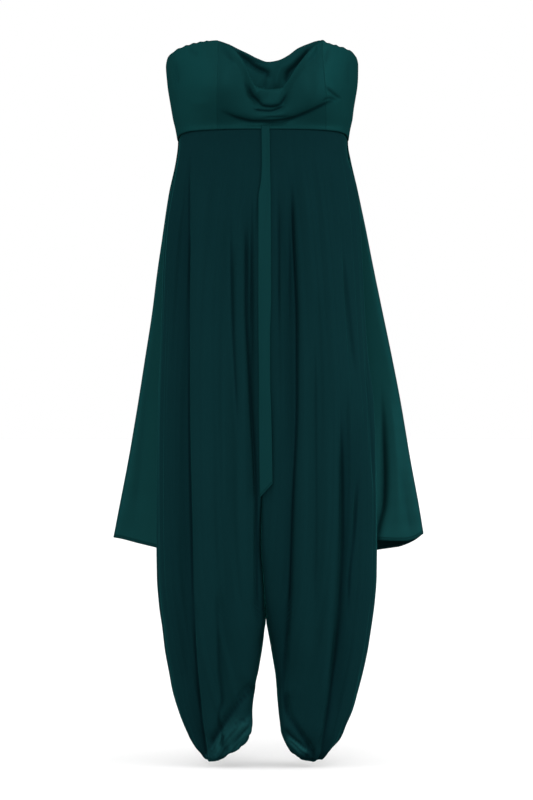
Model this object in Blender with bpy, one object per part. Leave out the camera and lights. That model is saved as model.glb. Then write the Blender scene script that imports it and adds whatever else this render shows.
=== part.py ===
"""Strapless harem jumpsuit with an overskirt, filled out as if worn, hollow, in metres.

The wearer faces -Y, +Z is up, and the origin is the middle of the under-bust seam, where the
boned bodice grips the ribs and holds everything else up. Each cut piece of cloth is a thin wall
of its own: its outer face is a surface worked out from rings at named levels, and its inner face
is that surface moved in by the wall's thickness. Pieces meet at seams with a gap of 0.3 mm.
"""
import math

import bmesh
import bpy
import numpy as np

GAP = 0.0003                 # between two pieces at a seam
CREPE_WALL = 0.0013          # single satin-backed crepe, built a little thick
BODICE_WALL = 0.0030         # bodice cloth with its fused backing
BASE_DEPTH = 0.0026          # the flat centre front lies this far behind the cowl's face

CROTCH_LEVEL = -0.520        # dropped crotch, below it each leg is a tube
VALLEY_TOP = -0.100          # the centre seams begin to sink between the legs here
VALLEY_POWER = 3.0           # how late the centre seams plunge towards the crotch
ANKLE_LEVEL = -1.0535        # middle of the two tilted ankle hems
INSEAM_Y = 0.0               # the inside leg seams lie in this plane

QUARTER_STEPS = 50           # chords in a quarter of a ring before it is spaced evenly
PLACES = 161                 # points kept along a panel's width on each ring
LEVELS = 261                 # rings kept down a panel's height
QUARTER = np.linspace(0.0, math.pi / 2, QUARTER_STEPS)
EDGE_PLACES = np.linspace(0.0, 1.0, 121)   # where a panel's upper and lower edges are found
SEAM_MARGIN = 0.10           # share of a panel's width over which folds fade to its seams


def smooth_curve(places, values):
    """A curve through the values at those places that never swings past them."""
    places = np.asarray(places, dtype=float)
    values = np.asarray(values, dtype=float)
    steps = np.diff(places)
    rises = np.diff(values) / steps
    slopes = np.concatenate(([rises[0]], np.zeros(len(places) - 2), [rises[-1]]))
    for i in range(1, len(places) - 1):
        if rises[i - 1] * rises[i] > 0.0:
            slopes[i] = 2.0 * rises[i - 1] * rises[i] / (rises[i - 1] + rises[i])

    def value(at):
        at = np.asarray(at, dtype=float)
        i = np.clip(np.searchsorted(places, at) - 1, 0, len(steps) - 1)
        t = np.clip((at - places[i]) / steps[i], 0.0, 1.0)
        start = (1.0 + 2.0 * t) * (1.0 - t) ** 2 * values[i]
        end = t * t * (3.0 - 2.0 * t) * values[i + 1]
        leaving = t * (1.0 - t) ** 2 * steps[i] * slopes[i]
        arriving = t * t * (t - 1.0) * steps[i] * slopes[i + 1]
        return start + end + leaving + arriving

    return value


def table(columns, *rows):
    """For each named column after the first, a smooth curve over the first column."""
    rows = sorted(rows)
    places = [row[0] for row in rows]
    return {name: smooth_curve(places, [row[i] for row in rows])
            for i, name in enumerate(columns) if i > 0}


def rise(value, start, end):
    """0 at the start, 1 at the end, with a soft turn at both."""
    t = np.clip((np.asarray(value, dtype=float) - start) / (end - start), 0.0, 1.0)
    return t * t * (3.0 - 2.0 * t)


# The under-bust seam is level over the front and drops round the sides to the back.
SEAM = table(
    ("y", "height"),
    (-0.130, 0.0000),
    (-0.075, -0.0008),
    (-0.045, -0.0060),
    (-0.012, -0.0170),
    (0.030, -0.0200),
    (0.110, -0.0200),
)["height"]

# Trousers: half the outline to each side, where the two legs meet and how far they part,
# how deep they are to the front and back, where the side seam lies, and how far out from the
# centre the fullest part of each front is, as a share of the leg's width.
TROUSERS = table(
    ("level", "left", "right", "centre", "parting", "front", "back", "side_y", "fullest"),
    (0.000, -0.1474, 0.1356, 0.0000, GAP, 0.1050, 0.0930, -0.006, 0.00),
    (-0.020, -0.1474, 0.1356, 0.0000, GAP, 0.1056, 0.0932, -0.006, 0.00),
    (-0.045, -0.1496, 0.1372, 0.0000, GAP, 0.1070, 0.0940, -0.008, 0.01),
    (-0.070, -0.1544, 0.1445, 0.0000, GAP, 0.1092, 0.0950, -0.010, 0.04),
    (-0.104, -0.1618, 0.1524, 0.0000, GAP, 0.1130, 0.0965, -0.013, 0.10),
    (-0.159, -0.1700, 0.1578, 0.0000, GAP, 0.1185, 0.0990, -0.017, 0.20),
    (-0.240, -0.1742, 0.1616, 0.0000, GAP, 0.1240, 0.1020, -0.020, 0.32),
    (-0.312, -0.1762, 0.1650, -0.0010, GAP, 0.1270, 0.1040, -0.020, 0.40),
    (-0.384, -0.1789, 0.1705, -0.0020, GAP, 0.1290, 0.1055, -0.020, 0.45),
    (-0.455, -0.1816, 0.1793, -0.0030, GAP, 0.1300, 0.1060, -0.020, 0.48),
    (-0.603, -0.1838, 0.1853, -0.0070, GAP, 0.1290, 0.1050, -0.020, 0.50),
    (-0.691, -0.1847, 0.1860, -0.0090, GAP, 0.1250, 0.1020, -0.018, 0.50),
    (-0.751, -0.1842, 0.1855, -0.0050, GAP, 0.1190, 0.0985, -0.016, 0.50),
    (-0.792, -0.1812, 0.1828, -0.0025, GAP, 0.1130, 0.0945, -0.014, 0.50),
    (-0.812, -0.1790, 0.1805, -0.0012, GAP, 0.1095, 0.0920, -0.012, 0.50),
    (-0.832, -0.1759, 0.1776, -0.0008, 0.0033, 0.1055, 0.0890, -0.010, 0.50),
    (-0.873, -0.1708, 0.1708, 0.0000, 0.0152, 0.0960, 0.0820, -0.006, 0.50),
    (-0.913, -0.1641, 0.1624, 0.0000, 0.0286, 0.0850, 0.0740, -0.004, 0.50),
    (-0.945, -0.1585, 0.1545, -0.0016, 0.0387, 0.0755, 0.0675, -0.002, 0.50),
    (-0.979, -0.1490, 0.1456, -0.0017, 0.0454, 0.0640, 0.0590, 0.000, 0.50),
    (-1.002, -0.1405, 0.1355, 0.0000, 0.0488, 0.0560, 0.0530, 0.000, 0.50),
    (-1.022, -0.1305, 0.1254, 0.0000, 0.0590, 0.0490, 0.0470, 0.000, 0.50),
    (-1.039, -0.1205, 0.1136, -0.0017, 0.0791, 0.0400, 0.0385, 0.000, 0.50),
    (ANKLE_LEVEL, -0.1125, 0.1003, -0.0066, 0.1158, 0.0250, 0.0240, 0.000, 0.50),
)

# Share of the rows against share of a leg's length.
LEG_ROWS = table(
    ("rows", "length"),
    (0.00, 0.000),
    (0.25, 0.130),
    (0.50, 0.430),
    (0.72, 0.770),
    (0.88, 0.930),
    (1.00, 1.000),
)["length"]

# The roundness of a ring's quarters: 2 is an ellipse, more is squarer.
SIDE_ROUNDNESS = 2.3
INNER_ROUNDNESS = 2.3

# Each ankle hem is tilted: how much its inner edge and its back edge are lifted.
ANKLE_TILT_TOP = -1.000
ANKLE_INNER_LIFT = {"left": 0.0045, "right": 0.0010}
ANKLE_BACK_LIFT = {"left": 0.0035, "right": 0.0045}

# Long soft folds that hang in the leg fronts and backs: where the fold lies at its top and
# at its foot, the levels between which it shows, its half width, and how far it stands out
# (above 0) or sinks in (below 0).
FOLD_COLUMNS = ("x_top", "x_foot", "top", "foot", "half_width", "height")
FRONT_FOLDS = {
    "left": (
        (-0.142, -0.132, -0.100, -0.960, 0.013, -0.0040),
        (-0.118, -0.110, -0.100, -0.930, 0.014, 0.0035),
        (-0.074, -0.060, -0.140, -0.540, 0.013, -0.0030),
        (-0.060, -0.082, -0.500, -1.000, 0.014, -0.0030),
        (-0.034, -0.022, -0.120, -0.780, 0.012, -0.0045),
    ),
    "right": (
        (0.046, 0.042, -0.120, -0.980, 0.012, -0.0045),
        (0.066, 0.064, -0.200, -0.700, 0.014, 0.0030),
        (0.084, 0.090, -0.300, -0.720, 0.012, -0.0030),
        (0.126, 0.106, -0.500, -0.990, 0.012, -0.0040),
        (0.130, 0.152, -0.180, -0.480, 0.012, -0.0035),
    ),
}
BACK_FOLDS = {
    "left": (
        (-0.120, -0.125, -0.300, -0.960, 0.015, -0.0035),
        (-0.070, -0.075, -0.420, -0.990, 0.015, -0.0040),
        (-0.030, -0.035, -0.300, -0.840, 0.012, 0.0025),
    ),
    "right": (
        (0.036, 0.040, -0.350, -0.900, 0.013, -0.0035),
        (0.082, 0.085, -0.420, -0.990, 0.015, 0.0030),
        (0.128, 0.120, -0.300, -0.960, 0.014, -0.0040),
    ),
}
FOLD_FADE = 0.070            # length over which a fold comes and goes
SASH_CLEAR = 0.016           # no fold rises nearer to the centre than this, under the sash

BODICE_LOWEST = -0.022
BODICE_HIGHEST = 0.145
# Bodice: half the outline to each side and the depths, level by level.
BODICE = table(
    ("level", "left", "right", "front", "back", "side_y"),
    (BODICE_LOWEST, -0.1497, 0.1379, 0.1069, 0.0953, -0.006),
    (0.000, -0.1535, 0.1412, 0.1069, 0.0958, -0.006),
    (0.018, -0.1578, 0.1452, 0.1085, 0.0970, -0.006),
    (0.035, -0.1608, 0.1473, 0.1105, 0.0980, -0.006),
    (0.052, -0.1637, 0.1501, 0.1125, 0.0990, -0.006),
    (0.069, -0.1665, 0.1529, 0.1140, 0.0995, -0.006),
    (0.086, -0.1683, 0.1545, 0.1145, 0.1000, -0.006),
    (0.107, -0.1698, 0.1549, 0.1140, 0.1000, -0.006),
    (0.120, -0.1692, 0.1542, 0.1125, 0.1000, -0.006),
    (BODICE_HIGHEST, -0.1660, 0.1510, 0.1090, 0.0990, -0.006),
)

# Top edge of the bodice seen from the front, and of the back.
NECKLINE = table(
    ("x", "height"),
    (-0.1695, 0.1120),
    (-0.1658, 0.1207),
    (-0.1534, 0.1284),
    (-0.1358, 0.1332),
    (-0.1187, 0.1356),
    (-0.1018, 0.1366),
    (-0.0802, 0.1386),
    (-0.0603, 0.1303),
    (-0.0388, 0.1171),
    (-0.0190, 0.1068),
    (-0.0058, 0.1020),
    (0.0140, 0.1035),
    (0.0289, 0.1075),
    (0.0421, 0.1169),
    (0.0587, 0.1268),
    (0.0752, 0.1351),
    (0.0917, 0.1402),
    (0.1051, 0.1345),
    (0.1220, 0.1325),
    (0.1394, 0.1290),
    (0.1506, 0.1223),
    (0.1549, 0.1120),
)["height"]
BACK_EDGE = table(
    ("x", "height"),
    (-0.1700, 0.1120),
    (-0.1450, 0.1075),
    (-0.0900, 0.1040),
    (0.0000, 0.1030),
    (0.0800, 0.1040),
    (0.1350, 0.1075),
    (0.1550, 0.1120),
)["height"]

# The two long seams of the bodice front, between which the cowl hangs.
PRINCESS = table(
    ("level", "left", "right"),
    (-0.022, -0.0815, 0.0985),
    (0.030, -0.0812, 0.0980),
    (0.080, -0.0806, 0.0950),
    (0.145, -0.0800, 0.0912),
)

# Cups shaped by those seams: centre, width and fullness.
CUP_CENTRES = (-0.0740, 0.0830)
CUP_LEVEL = 0.064
CUP_HALF_WIDTH = 0.047
CUP_RISE_ABOVE = 0.075
CUP_FULLNESS = 0.025
CUP_SIDE_REACH = 0.060       # full from this far in front of the middle, none at the side seam

# The rolled upper edge of the cowl seen from the front.
COWL_EDGE = table(
    ("x", "height"),
    (-0.0815, 0.1372),
    (-0.0640, 0.1290),
    (-0.0503, 0.1175),
    (-0.0371, 0.0987),
    (-0.0288, 0.0789),
    (-0.0189, 0.0628),
    (0.0025, 0.0585),
    (0.0239, 0.0600),
    (0.0364, 0.0723),
    (0.0503, 0.0937),
    (0.0651, 0.1135),
    (0.0849, 0.1333),
    (0.0985, 0.1390),
)["height"]
COWL_STAND = 0.0070          # the roll stands this far off the flat centre front
COWL_STAND_HEIGHT = 0.030    # and comes back to it over this height

# Swags of the cowl: ends and lowest point, and how far the cloth above the tuck stands out.
SWAG_COLUMNS = ("left_x", "left_z", "low_x", "low_z", "right_x", "right_z", "stand", "height")
SWAGS = (
    (-0.0800, 0.0270, 0.0060, 0.0060, 0.0980, 0.0360, 0.0055, 0.0090),
    (-0.0300, 0.0560, 0.0020, 0.0310, 0.0360, 0.0400, 0.0040, 0.0070),
)

# Sash that hangs from the seam down the centre front.
SASH = table(
    ("level", "left", "right"),
    (0.000, -0.0074, 0.0060),
    (-0.090, -0.0062, 0.0072),
    (-0.142, -0.0112, 0.0074),
    (-0.290, -0.0138, 0.0082),
    (-0.455, -0.0125, 0.0066),
    (-0.620, -0.0112, 0.0107),
)
SASH_WALL = 0.0012
SASH_CLEARANCE = 0.0004      # it lies this far in front of the trousers
SASH_END_LEFT = -0.6160      # its end is cut on the slant
SASH_END_RIGHT = -0.5930

SKIRT_LOWEST = -0.735
# Overskirt: the widest line of each flare seen from the front, how far back its front edges
# lie, and how far it stands off the trousers behind.
OVERSKIRT = table(
    ("level", "left", "right", "edge_y", "behind"),
    (0.000, -0.1494, 0.1376, -0.002, 0.0000),
    (-0.053, -0.1536, 0.1434, 0.003, 0.0015),
    (-0.104, -0.1650, 0.1553, 0.008, 0.0060),
    (-0.159, -0.1738, 0.1675, 0.013, 0.0120),
    (-0.240, -0.1862, 0.1842, 0.020, 0.0190),
    (-0.312, -0.1958, 0.1997, 0.026, 0.0250),
    (-0.384, -0.2062, 0.2136, 0.031, 0.0310),
    (-0.455, -0.2168, 0.2265, 0.036, 0.0370),
    (-0.556, -0.2340, 0.2440, 0.042, 0.0460),
    (-0.640, -0.2510, 0.2600, 0.047, 0.0540),
    (SKIRT_LOWEST, -0.2680, 0.2730, 0.050, 0.0630),
)
SKIRT_CLEARANCE = 0.0020     # its outer face over the trousers: gap and wall
SKIRT_EDGE_AHEAD = 0.012     # at the top its front edges lap this far over the leg fronts
SKIRT_LAP_END = 0.014        # and turn in behind the legs once it stands out this far
SKIRT_TURN = 0.018           # half length of the turn at the widest line of a flare
TURN_SHARE = 0.45            # or this share of the near layer, where that is shorter
SKIRT_FADE = 0.38            # share of the way round over which a flare dies away
NEAR_SHARE = 0.16            # share of the columns in front of each flare's widest line
NEAR_POINTS = 41             # points kept along the near layer on each ring
BACK_POINTS = 169            # and between the two widest lines
UNDER_POINTS = 401           # points round the trousers under it
BASE_POINTS = 301            # and along the stretch that it hangs behind
# Lower edge from the left front corner round the back to the right one: share of the
# columns, and height.
SKIRT_HEM = table(
    ("round", "height"),
    (0.00, -0.7080),
    (0.10, -0.6960),
    (0.16, -0.6830),
    (0.25, -0.6980),
    (0.50, -0.7230),
    (0.75, -0.7080),
    (0.84, -0.6860),
    (0.90, -0.6950),
    (1.00, -0.6900),
)["height"]
# Flutes in its back: share of the columns, half width, and how far each swings out or in
# at the hem.
FLUTE_COLUMNS = ("round", "half_width", "swing")
FLUTES = (
    (0.27, 0.030, 0.0060),
    (0.34, 0.032, -0.0080),
    (0.42, 0.034, 0.0090),
    (0.50, 0.036, -0.0070),
    (0.58, 0.032, 0.0080),
    (0.66, 0.034, -0.0090),
    (0.73, 0.030, 0.0060),
)
FLUTE_TOP = -0.180           # the flutes begin to open here
FLUTE_FOOT = -0.720          # and are fully open here
# Share of the overskirt's rows against share of its length.
SKIRT_ROWS = table(
    ("rows", "length"),
    (0.00, 0.000),
    (0.40, 0.200),
    (1.00, 1.000),
)["length"]

COLOURS = {
    "satin": (0.0065, 0.0460, 0.0450, 1.0),
    "crepe": (0.0045, 0.0270, 0.0290, 1.0),
}
ROUGHNESS = {"satin": 0.38, "crepe": 0.70}


def quarter(side_point, middle_point, roundness):
    """A quarter of a ring, from its widest point to its foremost or hindmost one."""
    across = np.cos(QUARTER) ** (2.0 / roundness)
    forth = np.sin(QUARTER) ** (2.0 / roundness)
    x = middle_point[0] + (side_point[0] - middle_point[0]) * across
    y = side_point[1] + (middle_point[1] - side_point[1]) * forth
    return np.column_stack((x, y))


def evenly(line, places, trim):
    """Points at even spacing along a line, with both ends trimmed."""
    length = np.concatenate(([0.0], np.cumsum(np.hypot(*np.diff(line, axis=0).T))))
    wanted = trim + places * (length[-1] - 2.0 * trim)
    return np.column_stack([np.interp(wanted, length, line[:, i]) for i in (0, 1)])


class Rings:
    """A surface kept as rings of evenly spaced points, one for each of many levels."""

    def __init__(self, ring, lowest, highest, trim=GAP / 2):
        self.places = np.linspace(0.0, 1.0, PLACES)
        self.levels = np.linspace(lowest, highest, LEVELS)
        self.points = np.array([evenly(ring(level), self.places, trim)
                                for level in self.levels])

    def at(self, place, level):
        """x and y at a share of the way along the ring at a level."""
        across = np.clip(place, 0.0, 1.0) * (PLACES - 1)
        span = self.levels[-1] - self.levels[0]
        down = np.clip((level - self.levels[0]) / span, 0.0, 1.0) * (LEVELS - 1)
        i = np.minimum(across.astype(int), PLACES - 2)
        j = np.minimum(down.astype(int), LEVELS - 2)
        s = (across - i)[:, None]
        t = (down - j)[:, None]
        lower = self.points[j, i] * (1.0 - s) + self.points[j, i + 1] * s
        upper = self.points[j + 1, i] * (1.0 - s) + self.points[j + 1, i + 1] * s
        return lower * (1.0 - t) + upper * t

    def outward(self, place, level, turn):
        """Unit vectors square to the ring; turn is 1 for a clockwise ring, else -1."""
        reach = 0.008
        ahead = self.at(np.minimum(place + reach, 1.0), level)
        behind = self.at(np.maximum(place - reach, 0.0), level)
        along = ahead - behind
        along /= np.hypot(along[:, 0], along[:, 1])[:, None]
        return np.column_stack((-along[:, 1], along[:, 0])) * turn

    def edge_level(self, place, height, start):
        """The level at which the surface meets a line whose height depends on x and y."""
        level = np.full(len(place), start)
        for _ in range(12):
            xy = self.at(place, level)
            level = 0.5 * level + 0.5 * height(xy[:, 0], xy[:, 1])
        return level


def valley(level):
    """Share of the way from the front or back to the inseam that the centre seam has sunk."""
    down = (VALLEY_TOP - level) / (VALLEY_TOP - CROTCH_LEVEL)
    return float(np.clip(down, 0.0, 1.0)) ** VALLEY_POWER


def leg_edges(side, level):
    """Inner and outer x of a leg at one level or at many."""
    sign = -1.0 if side == "left" else 1.0
    inner = TROUSERS["centre"](level) + sign * TROUSERS["parting"](level) / 2.0
    return inner, TROUSERS[side](level)


def leg_front_ring(side):
    """Half a leg from the centre front or inseam, over the front, to the side seam."""
    def ring(level):
        inner, outer = leg_edges(side, level)
        front = -float(TROUSERS["front"](level))
        seam_y = front + (INSEAM_Y - front) * valley(level)
        middle = (inner + (outer - inner) * float(TROUSERS["fullest"](level)), front)
        inside = quarter((inner, seam_y), middle, INNER_ROUNDNESS)
        outside = quarter((outer, float(TROUSERS["side_y"](level))), middle, SIDE_ROUNDNESS)
        return np.vstack((inside, outside[::-1][1:]))
    return ring


def leg_back_ring(side, sunk=True):
    """The other half, from the side seam over the back to the centre back or inseam."""
    def ring(level):
        inner, outer = leg_edges(side, level)
        back = float(TROUSERS["back"](level))
        seam_y = back + (INSEAM_Y - back) * (valley(level) if sunk else 0.0)
        middle = (inner + (outer - inner) * float(TROUSERS["fullest"](level)), back)
        outside = quarter((outer, float(TROUSERS["side_y"](level))), middle, SIDE_ROUNDNESS)
        inside = quarter((inner, seam_y), middle, INNER_ROUNDNESS)
        return np.vstack((outside, inside[::-1][1:]))
    return ring


def fold_height(folds, x, level, centre):
    """How far the folds move each point of a leg in or out."""
    total = np.zeros(len(x))
    for row in folds:
        fold = dict(zip(FOLD_COLUMNS, row))
        share = (level - fold["top"]) / (fold["foot"] - fold["top"])
        middle = fold["x_top"] + (fold["x_foot"] - fold["x_top"]) * np.clip(share, 0.0, 1.0)
        shows = rise(level, fold["top"], fold["top"] - FOLD_FADE)
        shows = shows * (1.0 - rise(level, fold["foot"] + FOLD_FADE, fold["foot"]))
        total += fold["height"] * shows * np.exp(-((x - middle) / fold["half_width"]) ** 2)
    clear = rise(np.abs(x - centre), SASH_CLEAR, 2.0 * SASH_CLEAR)
    return total * np.where(total > 0.0, clear, 1.0)


def leg_surface(side, face):
    """Outer face of one leg panel over its width u and its height v, both from 0 to 1."""
    ring = leg_front_ring(side) if face == "front" else leg_back_ring(side)
    folds = FRONT_FOLDS[side] if face == "front" else BACK_FOLDS[side]
    rings = Rings(ring, ANKLE_LEVEL, 0.0)
    turn = 1.0 if side == "left" else -1.0
    tops = rings.edge_level(EDGE_PLACES, lambda x, y: SEAM(y) - GAP / 2, 0.0)

    def surface(u, v):
        top = np.interp(u, EDGE_PLACES, tops)
        level = top + (ANKLE_LEVEL - top) * LEG_ROWS(v)
        xy = rings.at(u, level)
        seams = rise(u, 0.0, SEAM_MARGIN) * (1.0 - rise(u, 1.0 - SEAM_MARGIN, 1.0))
        height = fold_height(folds, xy[:, 0], level, TROUSERS["centre"](level))
        xy = xy + rings.outward(u, level, turn) * (height * seams)[:, None]
        inner, outer = leg_edges(side, level)
        middle = (inner + outer) / 2.0
        half = np.abs(outer - inner) / 2.0
        tilt = rise(level, ANKLE_TILT_TOP, ANKLE_LEVEL)
        lift = ANKLE_INNER_LIFT[side] * turn * (xy[:, 0] - middle) / half
        lift = lift + ANKLE_BACK_LIFT[side] * xy[:, 1] / half
        return np.column_stack((xy, level + tilt * lift))

    return surface


def cup_height(x, level):
    """How far the cups stand out from the plain ring of the bodice."""
    below = np.clip((CUP_LEVEL - level) / CUP_LEVEL, 0.0, 1.0)
    above = np.clip((level - CUP_LEVEL) / CUP_RISE_ABOVE, 0.0, None)
    tall = np.where(level < CUP_LEVEL, (1.0 - below ** 2) ** 1.5, np.exp(-above ** 2))
    wide = sum(np.exp(-((x - centre) / CUP_HALF_WIDTH) ** 2) for centre in CUP_CENTRES)
    return CUP_FULLNESS * tall * wide


def bodice_front_ring(level):
    """Front half of the bodice, from the left side seam to the right one."""
    middle = (0.0, -float(BODICE["front"](level)))
    side_y = float(BODICE["side_y"](level))
    left = quarter((float(BODICE["left"](level)), side_y), middle, SIDE_ROUNDNESS)
    right = quarter((float(BODICE["right"](level)), side_y), middle, SIDE_ROUNDNESS)
    ring = np.vstack((left, right[::-1][1:]))
    ring[:, 1] -= cup_height(ring[:, 0], level) * rise(-ring[:, 1], -side_y, CUP_SIDE_REACH)
    return ring


def bodice_back_ring(level):
    """Back half of the bodice, from the left side seam to the right one."""
    middle = (0.0, float(BODICE["back"](level)))
    side_y = float(BODICE["side_y"](level))
    left = quarter((float(BODICE["left"](level)), side_y), middle, SIDE_ROUNDNESS)
    right = quarter((float(BODICE["right"](level)), side_y), middle, SIDE_ROUNDNESS)
    return np.vstack((left, right[::-1][1:]))


def between(ring, start, end):
    """The stretch of a front ring between two lines whose x depends on the level."""
    def stretch(level):
        line = ring(level)
        x = line[:, 0]
        low = -np.inf if start is None else float(start(level))
        high = np.inf if end is None else float(end(level))
        kept = line[(x > low) & (x < high)]
        if start is not None:
            kept = np.vstack(((low, np.interp(low, x, line[:, 1])), kept))
        if end is not None:
            kept = np.vstack((kept, (high, np.interp(high, x, line[:, 1]))))
        return kept
    return stretch


def bodice_surface(ring, top_edge, turn, trim=GAP / 2, shape=None):
    """Outer face of a bodice piece, from the under-bust seam (v = 0) to its top edge."""
    rings = Rings(ring, BODICE_LOWEST, BODICE_HIGHEST, trim)
    bottoms = rings.edge_level(EDGE_PLACES, lambda x, y: SEAM(y) + GAP / 2, 0.0)
    tops = rings.edge_level(EDGE_PLACES, lambda x, y: top_edge(x), 0.10)

    def surface(u, v):
        bottom = np.interp(u, EDGE_PLACES, bottoms)
        top = np.interp(u, EDGE_PLACES, tops)
        level = bottom + (top - bottom) * v
        xy = rings.at(u, level)
        if shape is not None:
            out = shape(u, xy[:, 0], level, top)
            xy = xy + rings.outward(u, level, turn) * out[:, None]
        return np.column_stack((xy, level))

    return surface


def cowl_shape(u, x, level, top):
    """How far the draped cowl stands off the plain front."""
    seams = rise(u, 0.0, 0.14) * (1.0 - rise(u, 0.86, 1.0))
    total = COWL_STAND * rise(level, top - COWL_STAND_HEIGHT, top) * np.ones(len(u))
    for row in SWAGS:
        swag = dict(zip(SWAG_COLUMNS, row))
        places = (swag["left_x"], swag["low_x"], swag["right_x"])
        line = smooth_curve(places, (swag["left_z"], swag["low_z"], swag["right_z"]))
        above = (level - line(x)) / swag["height"]
        stand = np.where(above > 0.0, above * np.exp(1.0 - above), 0.0)
        middle = (swag["left_x"] + swag["right_x"]) / 2.0
        half = (swag["right_x"] - swag["left_x"]) / 2.0
        reach = np.clip(1.0 - ((x - middle) / half) ** 2, 0.0, 1.0)
        total = total + swag["stand"] * stand * reach
    return total * seams * rise(level, 0.0, 0.012)


def sash_surface(u, v):
    """Outer face of the sash, on the front of the trousers moved out."""
    end = SASH_END_LEFT + (SASH_END_RIGHT - SASH_END_LEFT) * u
    level = -GAP / 2 + (end + GAP / 2) * v
    x = SASH["left"](level) + (SASH["right"](level) - SASH["left"](level)) * u
    y = -(TROUSERS["front"](level) + SASH_CLEARANCE + SASH_WALL)
    return np.column_stack((x, y, level))


def skirt_under(level):
    """The trousers at a level from centre front round the back, moved out by the clearance."""
    line = np.vstack((
        leg_front_ring("left")(level),
        leg_back_ring("left", sunk=False)(level)[1:],
        leg_back_ring("right", sunk=False)(level)[::-1][1:],
        leg_front_ring("right")(level)[::-1][1:],
    ))
    line = evenly(line, np.linspace(0.0, 1.0, UNDER_POINTS), 0.0)
    return line + square_to(line) * SKIRT_CLEARANCE


def square_to(line):
    """Unit vectors to the left of a line's direction."""
    along = np.gradient(line, axis=0)
    along /= np.maximum(np.hypot(along[:, 0], along[:, 1]), 1e-9)[:, None]
    return np.column_stack((-along[:, 1], along[:, 0]))


def rear(line, left_y, right_y):
    """The stretch of a ring that lies behind left_y on its left and right_y on its right."""
    half = int(np.argmax(line[:, 1]))
    left, right = line[:half], line[half:][::-1]
    start = (np.interp(left_y, left[:, 1], left[:, 0]), left_y)
    end = (np.interp(right_y, right[:, 1], right[:, 0]), right_y)
    return np.vstack((start, left[left[:, 1] > left_y], right[right[:, 1] > right_y][::-1], end))


def turned(line, corner, reach):
    """A line whose corner is rounded between two points that far from it."""
    length = np.concatenate(([0.0], np.cumsum(np.hypot(*np.diff(line, axis=0).T))))
    middle = length[corner]
    before = [np.interp(middle - reach, length, line[:, i]) for i in (0, 1)]
    after = [np.interp(middle + reach, length, line[:, i]) for i in (0, 1)]
    t = np.linspace(0.0, 1.0, 31)[:, None]
    bend = (1 - t) ** 2 * before + 2 * t * (1 - t) * line[corner] + t ** 2 * after
    first, second = bend[:16], bend[15:]
    return (np.vstack((line[length < middle - reach], first)),
            np.vstack((second, line[length > middle + reach])))


def skirt_ring(level):
    """The overskirt at a level, from its left front edge round the back to its right one."""
    under = skirt_under(level)
    size = {name: float(curve(level)) for name, curve in OVERSKIRT.items()}
    base = rear(under, size["edge_y"], size["edge_y"])
    base = evenly(base, np.linspace(0.0, 1.0, BASE_POINTS), 0.0)
    outward = square_to(base)
    flares = [max(0.0, (size["left"] - base[0, 0]) / outward[0, 0]),
              max(0.0, (size["right"] - base[-1, 0]) / outward[-1, 0])]
    for _ in range(4):
        ring = flared(under, base, outward, size, *flares)
        flares[0] = max(0.0, flares[0] + ring[:, 0].min() - size["left"])
        flares[1] = max(0.0, flares[1] - ring[:, 0].max() + size["right"])
    return ring


def flared(under, base, outward, size, left_flare, right_flare):
    """The ring of the overskirt when its sides stand that far off the trousers."""
    share = np.linspace(0.0, 1.0, len(base))
    out = left_flare * (1.0 - rise(share, 0.0, SKIRT_FADE))
    out = out + right_flare * rise(share, 1.0 - SKIRT_FADE, 1.0)
    out = out + size["behind"] * rise(share, 0.0, 0.25) * (1.0 - rise(share, 0.75, 1.0))
    main = base + outward * out[:, None]
    edges = []
    for flare in (left_flare, right_flare):
        ahead = SKIRT_EDGE_AHEAD * (1.0 - float(rise(flare, 0.0, SKIRT_LAP_END)))
        edges.append(size["edge_y"] - ahead)
    lapped = rear(under, *edges)
    near = np.linspace(0.0, 1.0, NEAR_POINTS)
    near_left = evenly(np.vstack((lapped[0], main[0])), near, 0.0)
    near_right = evenly(np.vstack((main[-1], lapped[-1])), near, 0.0)
    line = np.vstack((near_left, main[1:-1], near_right))
    reach = min(SKIRT_TURN, TURN_SHARE * np.linalg.norm(near_left[-1] - near_left[0]))
    left_part, rest = turned(line, len(near_left) - 1, reach)
    reach = min(SKIRT_TURN, TURN_SHARE * np.linalg.norm(near_right[-1] - near_right[0]))
    back_part, right_part = turned(rest, len(rest) - len(near_right), reach)
    return np.vstack((
        evenly(left_part, near, 0.0),
        evenly(back_part, np.linspace(0.0, 1.0, BACK_POINTS), 0.0)[1:],
        evenly(right_part, near, 0.0)[1:],
    ))


class SkirtRings(Rings):
    """Rings of the overskirt: the widest line of each flare keeps its own column."""

    def __init__(self):
        self.places = np.linspace(0.0, 1.0, PLACES)
        self.levels = np.linspace(SKIRT_LOWEST, 0.0, LEVELS)
        marks = np.concatenate((
            np.linspace(0.0, NEAR_SHARE, NEAR_POINTS),
            np.linspace(NEAR_SHARE, 1.0 - NEAR_SHARE, BACK_POINTS)[1:],
            np.linspace(1.0 - NEAR_SHARE, 1.0, NEAR_POINTS)[1:],
        ))
        self.points = np.array([
            np.column_stack([np.interp(self.places, marks, ring[:, i]) for i in (0, 1)])
            for ring in (skirt_ring(level) for level in self.levels)
        ])


def skirt_surface():
    """Outer face of the overskirt, from the under-bust seam (v = 0) to its hem."""
    rings = SkirtRings()
    tops = rings.edge_level(EDGE_PLACES, lambda x, y: SEAM(y) - GAP / 2, 0.0)

    def surface(u, v):
        top = np.interp(u, EDGE_PLACES, tops)
        level = top + (SKIRT_HEM(u) - top) * SKIRT_ROWS(v)
        swing = np.zeros(len(u))
        for row in FLUTES:
            flute = dict(zip(FLUTE_COLUMNS, row))
            swing += flute["swing"] * np.exp(-((u - flute["round"]) / flute["half_width"]) ** 2)
        swing = swing * np.clip((FLUTE_TOP - level) / (FLUTE_TOP - FLUTE_FOOT), 0.0, 1.0)
        xy = rings.at(u, level) + rings.outward(u, level, 1.0) * swing[:, None]
        return np.column_stack((xy, level))

    return surface


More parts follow.
